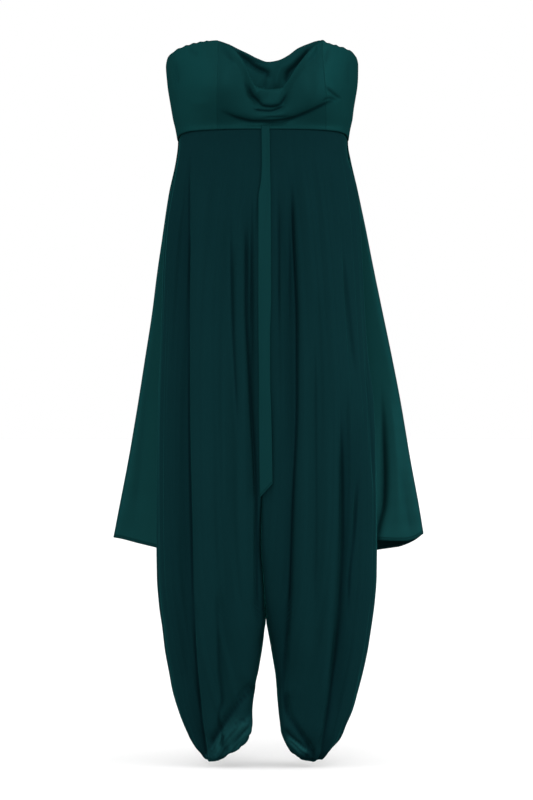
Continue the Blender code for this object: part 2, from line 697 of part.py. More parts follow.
def wall_directions(surface, u, v, towards):
    """Unit vectors square to a surface, on the side that towards (1 or -1) asks for."""
    across = surface(np.minimum(u + 0.008, 1.0), v) - surface(np.maximum(u - 0.008, 0.0), v)
    down = surface(u, np.minimum(v + 0.004, 1.0)) - surface(u, np.maximum(v - 0.004, 0.0))
    square = np.cross(across, down) * towards
    return square / np.linalg.norm(square, axis=1)[:, None]


def cloth_piece(name, slot, surface, columns, rows, wall, towards, depth=0.0):
    """One cut piece of cloth as a closed wall: a grid for each face, bridged at its edge."""
    bm = bmesh.new()
    for moved_in in (depth, depth + wall):
        grid = bmesh.ops.create_grid(bm, x_segments=columns, y_segments=rows, size=0.5)["verts"]
        u = np.array([vert.co.x + 0.5 for vert in grid])
        v = np.array([vert.co.y + 0.5 for vert in grid])
        points = surface(u, v) - wall_directions(surface, u, v, towards) * moved_in
        for vert, point in zip(grid, points):
            vert.co = point
    rims = [edge for edge in bm.edges if edge.is_boundary]
    bmesh.ops.bridge_loops(bm, edges=rims)
    bmesh.ops.triangulate(bm, faces=list(bm.faces), quad_method="SHORT_EDGE")
    bmesh.ops.recalc_face_normals(bm, faces=list(bm.faces))
    mesh = bpy.data.meshes.new(name)
    bm.to_mesh(mesh)
    bm.free()
    mesh.materials.append(cloth_material(slot))
    mesh.shade_smooth()
    mesh.set_sharp_from_angle(angle=math.radians(50.0))
    piece = bpy.data.objects.new(name, mesh)
    bpy.context.collection.objects.link(piece)
    return piece


def cloth_material(slot):
    """Satin or crepe side of the cloth."""
    material = bpy.data.materials.get(slot)
    if material is None:
        material = bpy.data.materials.new(slot)
        material.use_nodes = True
        shader = material.node_tree.nodes["Principled BSDF"]
        shader.inputs["Base Color"].default_value = COLOURS[slot]
        shader.inputs["Roughness"].default_value = ROUGHNESS[slot]
        shader.inputs["Metallic"].default_value = 0.0
    return material


def make_bodice():
    """Flat centre front, cowl over it, two side fronts and the back."""
    left_seam, right_seam = PRINCESS["left"], PRINCESS["right"]
    centre = between(bodice_front_ring, left_seam, right_seam)
    cloth_piece("bodice_centre_front", "satin",
                bodice_surface(centre, NECKLINE, -1.0, trim=GAP),
                14, 10, CREPE_WALL, 1.0, depth=BASE_DEPTH)
    cloth_piece("cowl_drape", "satin",
                bodice_surface(centre, COWL_EDGE, -1.0, trim=GAP, shape=cowl_shape),
                26, 16, CREPE_WALL, 1.0)
    cloth_piece("bodice_side_front_left", "satin",
                bodice_surface(between(bodice_front_ring, None, left_seam), NECKLINE, -1.0),
                10, 10, BODICE_WALL, 1.0)
    cloth_piece("bodice_side_front_right", "satin",
                bodice_surface(between(bodice_front_ring, right_seam, None), NECKLINE, -1.0),
                10, 10, BODICE_WALL, 1.0)
    cloth_piece("bodice_back", "satin",
                bodice_surface(bodice_back_ring, BACK_EDGE, 1.0),
                24, 7, BODICE_WALL, -1.0)


def make_trousers():
    """Two leg fronts and two leg backs."""
    for side, towards in (("left", 1.0), ("right", -1.0)):
        cloth_piece("leg_front_" + side, "crepe", leg_surface(side, "front"),
                    22, 28, CREPE_WALL, towards)
        cloth_piece("leg_back_" + side, "crepe", leg_surface(side, "back"),
                    15, 28, CREPE_WALL, towards)


def make_overskirt_and_sash():
    """What hangs over the trousers from the same seam."""
    cloth_piece("overskirt", "satin", skirt_surface(), 54, 14, CREPE_WALL, 1.0)
    cloth_piece("sash", "satin", sash_surface, 2, 18, SASH_WALL, -1.0)


for old in list(bpy.data.objects):
    bpy.data.objects.remove(old, do_unlink=True)
make_bodice()
make_trousers()
make_overskirt_and_sash()
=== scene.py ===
# %% [markdown]
# # A strapless evening jumpsuit, filled out as if worn
# The real garment is sewn from one dark green satin-back crepe, used on both of its sides. The
# bodice, the overskirt and the sash show the satin side, and the harem trousers the matte crepe
# side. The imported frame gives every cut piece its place. Here each piece is modelled again as a
# fine shell of cloth, with the folds that a coarse solid can't carry.

# %% Load the frame
import math

import bmesh
import bpy
import numpy as np
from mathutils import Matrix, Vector


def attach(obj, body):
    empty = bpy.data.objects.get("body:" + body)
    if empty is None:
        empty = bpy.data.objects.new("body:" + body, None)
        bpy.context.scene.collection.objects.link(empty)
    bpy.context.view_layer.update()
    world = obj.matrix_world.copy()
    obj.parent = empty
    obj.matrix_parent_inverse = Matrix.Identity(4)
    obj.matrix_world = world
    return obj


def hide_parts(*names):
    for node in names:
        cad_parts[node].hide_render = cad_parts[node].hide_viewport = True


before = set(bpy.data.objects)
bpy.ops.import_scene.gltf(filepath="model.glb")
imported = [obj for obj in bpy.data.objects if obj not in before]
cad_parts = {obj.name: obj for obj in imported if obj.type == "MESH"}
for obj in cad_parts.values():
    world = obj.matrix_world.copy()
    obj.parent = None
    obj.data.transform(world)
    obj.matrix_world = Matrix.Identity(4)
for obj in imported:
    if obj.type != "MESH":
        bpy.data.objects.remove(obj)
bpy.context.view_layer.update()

print("cut pieces in the frame:", len(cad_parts))

# %% [markdown]
# ## Camera
# A clothes photograph is taken from far off with a long lens, so that the hem isn't seen from
# above and the neckline isn't seen from below. The camera stands 5 m away, level with the
# middle of the picture, and the lens is worked out from the height that the frame must hold.

# %% Make the camera
CAMERA_DISTANCE = 5.0
FRAME_HEIGHT = 1.352         # of the plane through the garment's middle
FRAME_MIDDLE = -0.455

camera_data = bpy.data.cameras.new("camera")
camera_data.lens = camera_data.sensor_width * CAMERA_DISTANCE / FRAME_HEIGHT
camera = bpy.data.objects.new("camera", camera_data)
camera.location = (0.0, -CAMERA_DISTANCE, FRAME_MIDDLE)
camera.rotation_euler = (math.radians(90.0), 0.0, 0.0)
bpy.context.collection.objects.link(camera)
bpy.context.scene.camera = camera
print("lens:", round(camera_data.lens, 1), "mm")

# %% [markdown]
# ## Light and floor
# The cloth is very dark and the background nearly white, so the picture needs a plain white
# surround, soft enough for the folds to show by their shade alone. A white sky gives about
# half of the light. A large soft light near the camera leaves every valley dark and every
# ridge light, one at each side lifts the edges, and a weak one from above whitens the floor.
# They are suns with a wide disc, so their light is the same from the bust to the ankles.

# %% Make the surround and the soft lights
scene = bpy.context.scene
scene.view_settings.view_transform = "Standard"
world = bpy.data.worlds.new("studio")
world.use_nodes = True
world.node_tree.nodes["Background"].inputs["Color"].default_value = (1.0, 1.0, 1.0, 1.0)
world.node_tree.nodes["Background"].inputs["Strength"].default_value = 1.0
scene.world = world

LIGHT_COLUMNS = ("name", "comes_from", "disc_degrees", "strength")
LIGHTS = (
    ("softlight_front", (-0.14, -1.0, 0.18), 30.0, 2.4),
    ("softlight_left", (-1.0, -0.14, 0.16), 60.0, 4.2),
    ("softlight_right", (1.0, -0.28, 0.16), 60.0, 6.6),
    ("softlight_overhead", (0.0, -0.65, 1.0), 60.0, 1.9),
)
for row in LIGHTS:
    soft = dict(zip(LIGHT_COLUMNS, row))
    light_data = bpy.data.lights.new(soft["name"], "SUN")
    light_data.angle = math.radians(soft["disc_degrees"])
    light_data.energy = soft["strength"]
    light = bpy.data.objects.new(soft["name"], light_data)
    light.location = soft["comes_from"]
    light.rotation_euler = Vector(soft["comes_from"]).to_track_quat("Z", "Y").to_euler()
    bpy.context.collection.objects.link(light)
print("soft lights:", len(LIGHTS))

# %% [markdown]
# The floor is one wide plane just under the ankles. Its grey is chosen so that in full light
# it comes out as white as the sky behind it, and only the shadow near the feet shows. A faint
# glow of its own, like that of paper on a lit table, keeps the shadow pale.

# %% Lay the floor
FLOOR_LEVEL = -1.0735
FLOOR_HALF = 40.0
FLOOR_GREY = 0.36
FLOOR_ROUGHNESS = 0.9
FLOOR_GLOW = 0.36

bm = bmesh.new()
bmesh.ops.create_grid(bm, x_segments=1, y_segments=1, size=FLOOR_HALF)
bmesh.ops.translate(bm, verts=bm.verts, vec=(0.0, 0.0, FLOOR_LEVEL))
floor_mesh = bpy.data.meshes.new("floor")
bm.to_mesh(floor_mesh)
bm.free()
floor_material = bpy.data.materials.new("floor_paper")
floor_material.use_nodes = True
floor_shader = floor_material.node_tree.nodes["Principled BSDF"]
floor_shader.inputs["Base Color"].default_value = (FLOOR_GREY, FLOOR_GREY, FLOOR_GREY, 1.0)
floor_shader.inputs["Roughness"].default_value = FLOOR_ROUGHNESS
floor_shader.inputs["Specular IOR Level"].default_value = 0.0
floor_shader.inputs["Emission Color"].default_value = (1.0, 1.0, 1.0, 1.0)
floor_shader.inputs["Emission Strength"].default_value = FLOOR_GLOW
floor_mesh.materials.append(floor_material)
floor = bpy.data.objects.new("floor", floor_mesh)
bpy.context.collection.objects.link(floor)
print("floor:", 2.0 * FLOOR_HALF, "m wide, at", FLOOR_LEVEL, "m")

# %% [markdown]
# ## Curves from short tables
# Every form below is read from a short table with named columns: a few levels, and what the
# garment measures there. A cubic that never swings past its values joins them, so no bulge
# appears that the table doesn't ask for.

# %% Helpers for tables
def smooth_curve(places, values):
    """A curve through the values at those places that never swings past them."""
    places = np.asarray(places, dtype=float)
    values = np.asarray(values, dtype=float)
    steps = np.diff(places)
    rises = np.diff(values) / steps
    slopes = np.concatenate(([rises[0]], np.zeros(len(places) - 2), [rises[-1]]))
    for i in range(1, len(places) - 1):
        if rises[i - 1] * rises[i] > 0.0:
            slopes[i] = 2.0 * rises[i - 1] * rises[i] / (rises[i - 1] + rises[i])

    def value(at):
        at = np.asarray(at, dtype=float)
        i = np.clip(np.searchsorted(places, at) - 1, 0, len(steps) - 1)
        t = np.clip((at - places[i]) / steps[i], 0.0, 1.0)
        start = (1.0 + 2.0 * t) * (1.0 - t) ** 2 * values[i]
        end = t * t * (3.0 - 2.0 * t) * values[i + 1]
        leaving = t * (1.0 - t) ** 2 * steps[i] * slopes[i]
        arriving = t * t * (t - 1.0) * steps[i] * slopes[i + 1]
        return start + end + leaving + arriving

    return value


def table(columns, *rows):
    """For each named column after the first, a smooth curve over the first column."""
    rows = sorted(rows)
    places = [row[0] for row in rows]
    return {name: smooth_curve(places, [row[i] for row in rows])
            for i, name in enumerate(columns) if i > 0}


def rise(value, start, end):
    """0 at the start, 1 at the end, with a soft turn at both."""
    t = np.clip((np.asarray(value, dtype=float) - start) / (end - start), 0.0, 1.0)
    return t * t * (3.0 - 2.0 * t)


print("a rise from 0 to 1, a quarter of the way:", round(float(rise(0.25, 0.0, 1.0)), 3))

# %% [markdown]
# ## Rings
# A filled-out garment is a stack of rings, one for each level. A ring is drawn as quarters of
# a rounded oval, because a body under cloth is a little squarer than an ellipse. Its points are
# then spaced evenly, so that the weave isn't stretched where the oval bends.

# %% Draw one ring
GAP = 0.0001                 # between two pieces at a seam
ROUNDNESS = 2.3              # 2 is an ellipse, more is squarer
QUARTER = np.linspace(0.0, math.pi / 2, 90)


def quarter(side_point, middle_point, roundness=ROUNDNESS):
    """A quarter of a ring, from its widest point to its foremost or hindmost one."""
    across, forth = np.cos(QUARTER), np.sin(QUARTER)
    reach = (across ** roundness + forth ** roundness) ** (-1.0 / roundness)
    x = middle_point[0] + (side_point[0] - middle_point[0]) * across * reach
    y = side_point[1] + (middle_point[1] - side_point[1]) * forth * reach
    return np.column_stack((x, y))


def evenly(line, places, trim):
    """Points at even spacing along a line, with both ends trimmed."""
    length = np.concatenate(([0.0], np.cumsum(np.hypot(*np.diff(line, axis=0).T))))
    wanted = trim + places * (length[-1] - 2.0 * trim)
    return np.column_stack([np.interp(wanted, length, line[:, i]) for i in (0, 1)])


print("steps in a quarter of a ring:", len(QUARTER))

# %% [markdown]
# All the rings of a surface are kept together, so that any point on it can be read off by its
# share of the way along the ring and by its level. A seam that isn't level is found by asking,
# again and again, how high it runs at the point that the last guess gave.

# %% Stack the rings
EDGE_PLACES = np.linspace(0.0, 1.0, 121)
EDGE_GUESSES = 12


class Rings:
    """A surface kept as rings of evenly spaced points, one for each of many levels."""

    def __init__(self, ring, lowest, highest, trim=GAP / 2, places=241, levels=321):
        self.levels = np.linspace(lowest, highest, levels)
        shares = np.linspace(0.0, 1.0, places)
        self.points = np.array([evenly(ring(level), shares, trim) for level in self.levels])

    def at(self, place, level):
        """x and y at a share of the way along the ring at a level."""
        levels, places = self.points.shape[:2]
        across = np.clip(place, 0.0, 1.0) * (places - 1)
        span = self.levels[-1] - self.levels[0]
        down = np.clip((level - self.levels[0]) / span, 0.0, 1.0) * (levels - 1)
        i = np.minimum(across.astype(int), places - 2)
        j = np.minimum(down.astype(int), levels - 2)
        s = (across - i)[:, None]
        t = (down - j)[:, None]
        lower = self.points[j, i] * (1.0 - s) + self.points[j, i + 1] * s
        upper = self.points[j + 1, i] * (1.0 - s) + self.points[j + 1, i + 1] * s
        return lower * (1.0 - t) + upper * t

    def edge_level(self, height, start):
        """At each edge place, the level at which the surface meets a line of that height."""
        level = np.full(len(EDGE_PLACES), start)
        for _ in range(EDGE_GUESSES):
            xy = self.at(EDGE_PLACES, level)
            level = 0.5 * level + 0.5 * height(xy[:, 0], xy[:, 1])
        return level


print("places measured along an edge:", len(EDGE_PLACES))

# %% [markdown]
# ## Creases
# Soft cloth shows long valleys and low ridges rather than sharp lines. Each crease is a path
# across the front or the back, drawn in x and z. It has a height, below 0 for a valley, a lean
# that lifts the cloth on one side and lets it down on the other, and a half width. They are
# placed one by one, uneven as in the photograph, and every one fades out at both ends, some over
# a longer share of their length than the rest.

# %% Follow a path over the cloth
PATH_STEPS = 40


def smooth_path(path):
    """The path as many short steps along one smooth curve."""
    path = np.array(path, dtype=float)
    run = np.concatenate(([0.0], np.cumsum(np.hypot(*np.diff(path, axis=0).T))))
    steps = np.linspace(0.0, run[-1], PATH_STEPS)
    return np.column_stack([smooth_curve(run, path[:, i])(steps) for i in (0, 1)])


def along_path(x, z, path):
    """How far each point lies off the path, above 0 on its left, and the share already run."""
    line = smooth_path(path)
    nearest = np.full(len(x), np.inf)
    off = np.zeros(len(x))
    share = np.zeros(len(x))
    for i in range(len(line) - 1):
        step = line[i + 1] - line[i]
        size = max(float(step @ step), 1.0e-12)
        t = np.clip(((x - line[i, 0]) * step[0] + (z - line[i, 1]) * step[1]) / size, 0.0, 1.0)
        dx = x - line[i, 0] - t * step[0]
        dz = z - line[i, 1] - t * step[1]
        away = np.hypot(dx, dz)
        closer = away < nearest
        nearest = np.where(closer, away, nearest)
        off = np.where(closer, away * np.sign(step[0] * dz - step[1] * dx), off)
        share = np.where(closer, (i + t) / (len(line) - 1), share)
    return off, share


print("steps along each crease:", PATH_STEPS)

# %% [markdown]
# A crease does two things. It moves the cloth, and it lays painted shade along its valley, which
# on satin and crepe shows as a darker line, however shallow the valley is.

# %% Move the cloth along creases and paint shade along them
CREASE_COLUMNS = ("height", "lean", "half_width", "path", "fade")    # the last may be left out
CREST = 1.6                  # 2 is a round crest, less is a sharper one
LEAN_TURN = 1.5              # how fast a lean turns over at the line
LEAN_REACH = 4.5             # and how many half widths it reaches
DEEPEST_CREASE = -0.006      # from this height on a valley is shaded most
SHADED_SHARE = 0.6           # of its half width


def shown(share, fade):
    """1 along a path, with a soft end over that share of its length at both ends."""
    return rise(share, 0.0, fade) * (1.0 - rise(share, 1.0 - fade, 1.0))


def creased(x, z, creases, fade=0.14):
    """How far the creases move each point out or in."""
    total = np.zeros(len(x))
    for row in creases:
        crease = dict(zip(CREASE_COLUMNS, row))
        off, share = along_path(x, z, crease["path"])
        shows = shown(share, crease.get("fade", fade))
        wide = off / crease["half_width"]
        line = crease["height"] * np.exp(-np.abs(wide) ** CREST)
        step = crease["lean"] * np.tanh(LEAN_TURN * wide) * np.exp(-(wide / LEAN_REACH) ** 2)
        total += shows * (line + step)
    return total


def shaded_lines(x, z, creases, strength, fade=0.14):
    """How much painted shade lies along the valleys, from 0 to 1."""
    total = np.zeros(len(x))
    for row in creases:
        crease = dict(zip(CREASE_COLUMNS, row))
        if crease["height"] < 0.0:
            off, share = along_path(x, z, crease["path"])
            shows = shown(share, crease.get("fade", fade))
            deep = min(1.0, crease["height"] / DEEPEST_CREASE)
            wide = off / (SHADED_SHARE * crease["half_width"])
            total += strength * deep * shows * np.exp(-wide ** 2)
    return total


print("a crease has a", ", a ".join(CREASE_COLUMNS))

# %% [markdown]
# ## One cut piece of cloth
# Each piece is a grid laid over its surface, as a tailor's panel is a flat sheet laid over the
# figure. The grid keeps its own width and length as the UV map, in metres, so the weave runs
# with the cloth and has its real size. A Solidify modifier gives it the thickness, inwards, and
# puts the other side of the cloth on the inner wall.

# %% Measure a surface
STEP_ACROSS = 0.003          # shares of the width and the length over which its slope is taken
STEP_DOWN = 0.002


def unit(vectors):
    """The same directions, each with a length of 1."""
    return vectors / np.maximum(np.linalg.norm(vectors, axis=1), 1.0e-12)[:, None]


def normals_of(surface, u, v, towards):
    """Unit vectors square to a surface, on the side that towards (1 or -1) asks for."""
    left, right = np.maximum(u - STEP_ACROSS, 0.0), np.minimum(u + STEP_ACROSS, 1.0)
    above, below = np.maximum(v - STEP_DOWN, 0.0), np.minimum(v + STEP_DOWN, 1.0)
    across = surface(right, v) - surface(left, v)
    square = np.cross(across, surface(u, below) - surface(u, above)) * towards
    return unit(square)


def lengths_of(surface):
    """Width and length of the cloth, measured along its middle row and its middle column."""
    steps = np.linspace(0.0, 1.0, 101)
    half = np.full(101, 0.5)
    row = np.diff(surface(steps, half), axis=0)
    column = np.diff(surface(half, steps), axis=0)
    return np.linalg.norm(row, axis=1).sum(), np.linalg.norm(column, axis=1).sum()


print("slopes are taken over", STEP_ACROSS, "of a width and", STEP_DOWN, "of a length")

# %% [markdown]
# The maker below takes the surface, its folds and what the finish has to know of the piece: how
# far each point lies from a hem, where the satin side is turned out or a highlight is painted,
# and where shade is painted. It states the flat size of the cloth, because a sheet of cloth is
# bought and cut flat.

# %% Make one piece of cloth
def cloth_piece(node, slot, surface, columns, rows, wall, towards, shape,
                depth=0.0, drawn=None, hem=None, satin_side_and_highlight=None, painted_shade=None):
    """A fine shell for one CAD node: its surface, moved out by its folds."""
    bm = bmesh.new()
    grid = bmesh.ops.create_grid(bm, x_segments=columns, y_segments=rows, size=0.5)["verts"]
    u = np.array([vert.co.x + 0.5 for vert in grid])
    v = np.array([vert.co.y + 0.5 for vert in grid])
    plain = surface(u, v)
    outward = normals_of(surface, u, v, towards)
    points = plain + outward * shape(u, v, plain)[:, None] + (0.0, depth, 0.0)
    if drawn is not None:
        points = points + unit(outward * (1.0, 1.0, 0.0)) * drawn(u, v, plain)[:, None]
    for vert, point in zip(grid, points):
        vert.co = point
    if towards < 0.0:
        bmesh.ops.reverse_faces(bm, faces=list(bm.faces))
    width, length = lengths_of(surface)
    layer = bm.loops.layers.uv.new("UVMap")
    for face in bm.faces:
        for loop in face.loops:
            i = loop.vert.index
            loop[layer].uv = (u[i] * width, v[i] * length)
    area = sum(face.calc_area() for face in bm.faces)
    mesh = bpy.data.meshes.new("cloth_" + node)
    bm.to_mesh(mesh)
    bm.free()
    mesh.shade_smooth()
    for name, values in (("hem", hem), ("satin_side_and_highlight", satin_side_and_highlight), ("painted_shade", painted_shade)):
        if values is not None:
            stored = mesh.attributes.new(name, "FLOAT", "POINT")
            stored.data.foreach_set("value", values(u, v, points, width, length).astype(float))
    outer, inner = ("satin", "crepe") if slot == "satin" else ("crepe", "satin")
    mesh.materials.append(materials[outer])
    mesh.materials.append(materials[inner])
    piece = bpy.data.objects.new("cloth_" + node, mesh)
    bpy.context.collection.objects.link(piece)
    thickness = piece.modifiers.new("wall", "SOLIDIFY")
    thickness.thickness = wall
    thickness.offset = -1.0
    thickness.material_offset = 1
    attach(piece, "root")
    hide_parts(node)
    print(node, "cloth", round(width, 3), "x", round(length, 3), "m,", len(mesh.polygons), "faces")


print("the frame still needs a cloth for", len(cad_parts), "nodes")

# %% [markdown]
# ## Two sides of one cloth
# Satin-back crepe is woven with long floats on one side, which gives the satin its soft glow,
# and with tightly twisted threads on the other, which gives the crepe its dry, pebbled look.
# Dyed thread colours what it reflects, so the satin has a share of the shader's coloured
# reflection and no white gloss, and the loose fibres of both sides leave a faint green sheen at
# the edges.

# %% Tones of the two sides
FINISH_COLUMNS = ("colour", "deep", "roughness", "metallic", "sheen", "grain", "bump")
FINISHES = {
    "satin": ((0.0021, 0.0172, 0.0176, 1.0), (0.0018, 0.0152, 0.0156, 1.0), 0.50, 0.25, 0.008,
              (420.0, 1500.0, 1.0), 0.10),
    "crepe": ((0.0015, 0.0103, 0.0116, 1.0), (0.0013, 0.0091, 0.0103, 1.0), 0.70, 0.00, 0.040,
              (1100.0, 1100.0, 1.0), 0.20),
}
EDGE_TINT = (0.02, 0.12, 0.12, 1.0)     # of what the satin reflects at its edges
SHEEN_TINT = (0.08, 0.85, 0.80, 1.0)
SHEEN_ROUGHNESS = 0.25
ROUGHNESS_SPREAD = 0.05
BUMP_HEIGHT = 0.0004
# Painted highlight: lighter than the satin's own colour; at the ankles it also shows where the
# satin side is turned out.
SATIN_SIDE_AND_HIGHLIGHT_COLOUR = (0.0036, 0.0250, 0.0265, 1.0)    # where it is turned out or faces the light
# Painted shade: where a piece asks for it, its colour is multiplied by this.
PAINTED_SHADE_COLOUR = (0.60, 0.57, 0.62, 1.0)     # of a face whose nap or floats lie away from the light
STITCH_LINE = 0.0045         # from a hem's edge
STITCH_WIDTH = (0.0003, 0.0011)         # half widths of its full and of its fading part
STITCH_SHADE = (0.55, 0.55, 0.55, 1.0)
print("sides of the cloth:", ", ".join(FINISHES))

# %% [markdown]
# A finish is a chain of shader nodes, and most links of the chain are alike. Three small helpers
# make them: one that fills in a node, one that lays a colour over another, and one that moves a
# value from one range to another.

# %% Helpers for shader nodes
def add_node(tree, kind, **values):
    """A node of that kind with its settings and unlinked sockets filled in."""
    node = tree.nodes.new(kind)
    for name, value in values.items():
        if hasattr(node, name):
            setattr(node, name, value)
        else:
            node.inputs[name.replace("_", " ")].default_value = value
    return node


def attribute(tree, name):
    """A value that a piece keeps at each of its points, and 0 where it keeps none."""
    return add_node(tree, "ShaderNodeAttribute", attribute_name=name).outputs["Fac"]


def laid_over(tree, below, colour, share, way="MIX"):
    """A colour laid over the one below it, mixed in or multiplied by that share."""
    mix = add_node(tree, "ShaderNodeMix", data_type="RGBA", blend_type=way)
    mix.inputs["B"].default_value = colour
    tree.links.new(share, mix.inputs["Factor"])
    if isinstance(below, tuple):
        mix.inputs["A"].default_value = below
    else:
        tree.links.new(below, mix.inputs["A"])
    return mix.outputs["Result"]


def moved(tree, value, reads, gives, way="LINEAR"):
    """A value moved from the range that it is read in to the range that is wanted."""
    ranges = add_node(tree, "ShaderNodeMapRange", interpolation_type=way,
                      From_Min=reads[0], From_Max=reads[1], To_Min=gives[0], To_Max=gives[1])
    tree.links.new(value, ranges.inputs["Value"])
    return ranges.outputs["Result"]


def worked_out(tree, operation, first, second=None):
    """One step of arithmetic between two values, of which the second may be a number."""
    step = add_node(tree, "ShaderNodeMath", operation=operation)
    tree.links.new(first, step.inputs[0])
    if isinstance(second, float):
        step.inputs[1].default_value = second
    elif second is not None:
        tree.links.new(second, step.inputs[1])
    return step.outputs[0]


print("helpers:", ", ".join(helper.__name__ for helper in (add_node, laid_over, moved, worked_out)))

# %% [markdown]
# Both sides come from one function. Noise in metres, stretched along the warp for satin and even
# in all ways for crepe, makes the bump, and a broader noise makes a slight unevenness of colour.
# Over these lie what each piece tells of itself: its turned-out satin and painted highlight, its
# painted shade and its hem.

# %% Make the two finishes
def make_finish(name):
    """Satin or crepe side of the cloth."""
    finish = dict(zip(FINISH_COLUMNS, FINISHES[name]))
    material = bpy.data.materials.new("cloth_" + name)
    material.use_nodes = True
    tree = material.node_tree
    shader = tree.nodes["Principled BSDF"]
    for socket, value in (
        ("Metallic", finish["metallic"]), ("Specular IOR Level", 0.0),
        ("Specular Tint", EDGE_TINT), ("Sheen Weight", finish["sheen"]),
        ("Sheen Tint", SHEEN_TINT), ("Sheen Roughness", SHEEN_ROUGHNESS),
    ):
        shader.inputs[socket].default_value = value
    cloth = add_node(tree, "ShaderNodeUVMap", uv_map="UVMap").outputs["UV"]

    # Slow change of colour over a hand's breadth.
    broad = add_node(tree, "ShaderNodeTexNoise", Scale=9.0, Detail=3.0, Roughness=0.6)
    tree.links.new(cloth, broad.inputs["Vector"])
    colour = laid_over(tree, finish["deep"], finish["colour"], broad.outputs["Fac"])

    # Turned-out satin and painted highlight, then painted shade, then the stitches near the inner
    # edge of a folded hem.
    colour = laid_over(tree, colour, SATIN_SIDE_AND_HIGHLIGHT_COLOUR, attribute(tree, "satin_side_and_highlight"))
    colour = laid_over(tree, colour, PAINTED_SHADE_COLOUR, attribute(tree, "painted_shade"), "MULTIPLY")
    off_line = worked_out(tree, "SUBTRACT", attribute(tree, "hem"), STITCH_LINE)
    off_line = worked_out(tree, "ABSOLUTE", off_line)
    stitches = moved(tree, off_line, STITCH_WIDTH, (1.0, 0.0), "SMOOTHSTEP")
    colour = laid_over(tree, colour, STITCH_SHADE, stitches, "MULTIPLY")
    tree.links.new(colour, shader.inputs["Base Color"])

    # Threads: bump along the grain, and a roughness that follows it.
    threads = add_node(tree, "ShaderNodeMapping", Scale=finish["grain"])
    tree.links.new(cloth, threads.inputs["Vector"])
    weave = add_node(tree, "ShaderNodeTexNoise", Scale=1.0, Detail=2.0, Roughness=0.55)
    tree.links.new(threads.outputs["Vector"], weave.inputs["Vector"])
    rough = (finish["roughness"] - ROUGHNESS_SPREAD, finish["roughness"] + ROUGHNESS_SPREAD)
    gloss = moved(tree, weave.outputs["Fac"], (0.0, 1.0), rough)
    tree.links.new(gloss, shader.inputs["Roughness"])
    bump = add_node(tree, "ShaderNodeBump", Strength=finish["bump"], Distance=BUMP_HEIGHT)
    lowered = worked_out(tree, "SUBTRACT", weave.outputs["Fac"], stitches)
    tree.links.new(lowered, bump.inputs["Height"])
    tree.links.new(bump.outputs["Normal"], shader.inputs["Normal"])
    return material


materials = {name: make_finish(name) for name in FINISHES}
print("finishes:", ", ".join(material.name for material in materials.values()))

# %% [markdown]
# ## The under-bust seam
# The bodice, the trousers and the overskirt all meet in one seam under the bust. It is level
# over the front and drops round the sides, which is what pulls the back of the garment down.

# %% Height of the seam
SEAM = table(
    ("y", "height"),
    (-0.130, -0.0062),
    (-0.075, -0.0070),
    (-0.045, -0.0100),
    (-0.012, -0.0172),
    (0.030, -0.0200),
    (0.110, -0.0200),
)["height"]
SEAM_ROLL = 0.0025           # height over which the cloth rolls into a seam
SEAM_SINK = 0.0005           # and how far


def rolled_in(distance, roll=SEAM_ROLL, sink=SEAM_SINK):
    """How far cloth rolls inwards near a seam or a folded edge."""
    t = np.clip(1.0 - distance / roll, 0.0, 1.0)
    return -sink * (1.0 - np.sqrt(np.maximum(1.0 - t * t, 0.0)))


print("the seam drops by", round(float(SEAM(-0.130) - SEAM(0.110)) * 1000.0, 1), "mm to the back")

# %% [markdown]
# ## Bodice
# The bodice is drafted like a corset: two side fronts, a centre front and a back, with the
# princess seams running over the fullest part of the bust so that the cups are shaped by cut
# and not by darts. The tables give the outline from the front and the depth, level by level.

# %% Sizes of the bodice
BODICE_LOWEST = -0.022
BODICE_HIGHEST = 0.145
BODICE = table(
    ("level", "left", "right", "front", "back", "side_y"),
    (BODICE_LOWEST, -0.1497, 0.1379, 0.1069, 0.0953, -0.006),
    (0.000, -0.1535, 0.1412, 0.1069, 0.0958, -0.006),
    (0.018, -0.1578, 0.1452, 0.1085, 0.0970, -0.006),
    (0.035, -0.1608, 0.1473, 0.1105, 0.0980, -0.006),
    (0.052, -0.1637, 0.1501, 0.1125, 0.0990, -0.006),
    (0.069, -0.1665, 0.1529, 0.1140, 0.0995, -0.006),
    (0.086, -0.1683, 0.1545, 0.1145, 0.1000, -0.006),
    (0.107, -0.1698, 0.1549, 0.1140, 0.1000, -0.006),
    (0.120, -0.1692, 0.1542, 0.1125, 0.1000, -0.006),
    (BODICE_HIGHEST, -0.1660, 0.1510, 0.1090, 0.0990, -0.006),
)
NECKLINE = table(
    ("x", "height"),
    (-0.1695, 0.1120), (-0.1658, 0.1210), (-0.1534, 0.1296), (-0.1358, 0.1350),
    (-0.1187, 0.1384), (-0.1018, 0.1402), (-0.0850, 0.1404), (-0.0640, 0.1348),
    (-0.0470, 0.1262), (-0.0310, 0.1182), (-0.0150, 0.1098), (0.0025, 0.1040),
    (0.0190, 0.1066), (0.0355, 0.1150), (0.0520, 0.1272), (0.0690, 0.1352),
    (0.0855, 0.1408), (0.0935, 0.1418), (0.1020, 0.1378), (0.1190, 0.1344),
    (0.1394, 0.1296), (0.1506, 0.1226), (0.1549, 0.1120),
)["height"]
BACK_EDGE = table(
    ("x", "height"),
    (-0.1700, 0.1120), (-0.1450, 0.1075), (-0.0900, 0.1040), (0.0000, 0.1030),
    (0.0800, 0.1040), (0.1350, 0.1075), (0.1550, 0.1120),
)["height"]
SCALLOP = 0.0007             # the stay tape draws the edge in between its gathers
SCALLOP_PITCH = 0.0128
SCALLOPS_FROM = 0.092        # from the middle, so that none lies under the cowl


def neck_edge(x):
    """Height of the neckline with the slight scallops of its gathers."""
    beside = rise(np.abs(x), SCALLOPS_FROM, SCALLOPS_FROM + 0.012)
    wave = np.sin(2.0 * math.pi * x / SCALLOP_PITCH + 1.1 * np.sin(60.0 * x))
    return NECKLINE(x) + SCALLOP * beside * wave


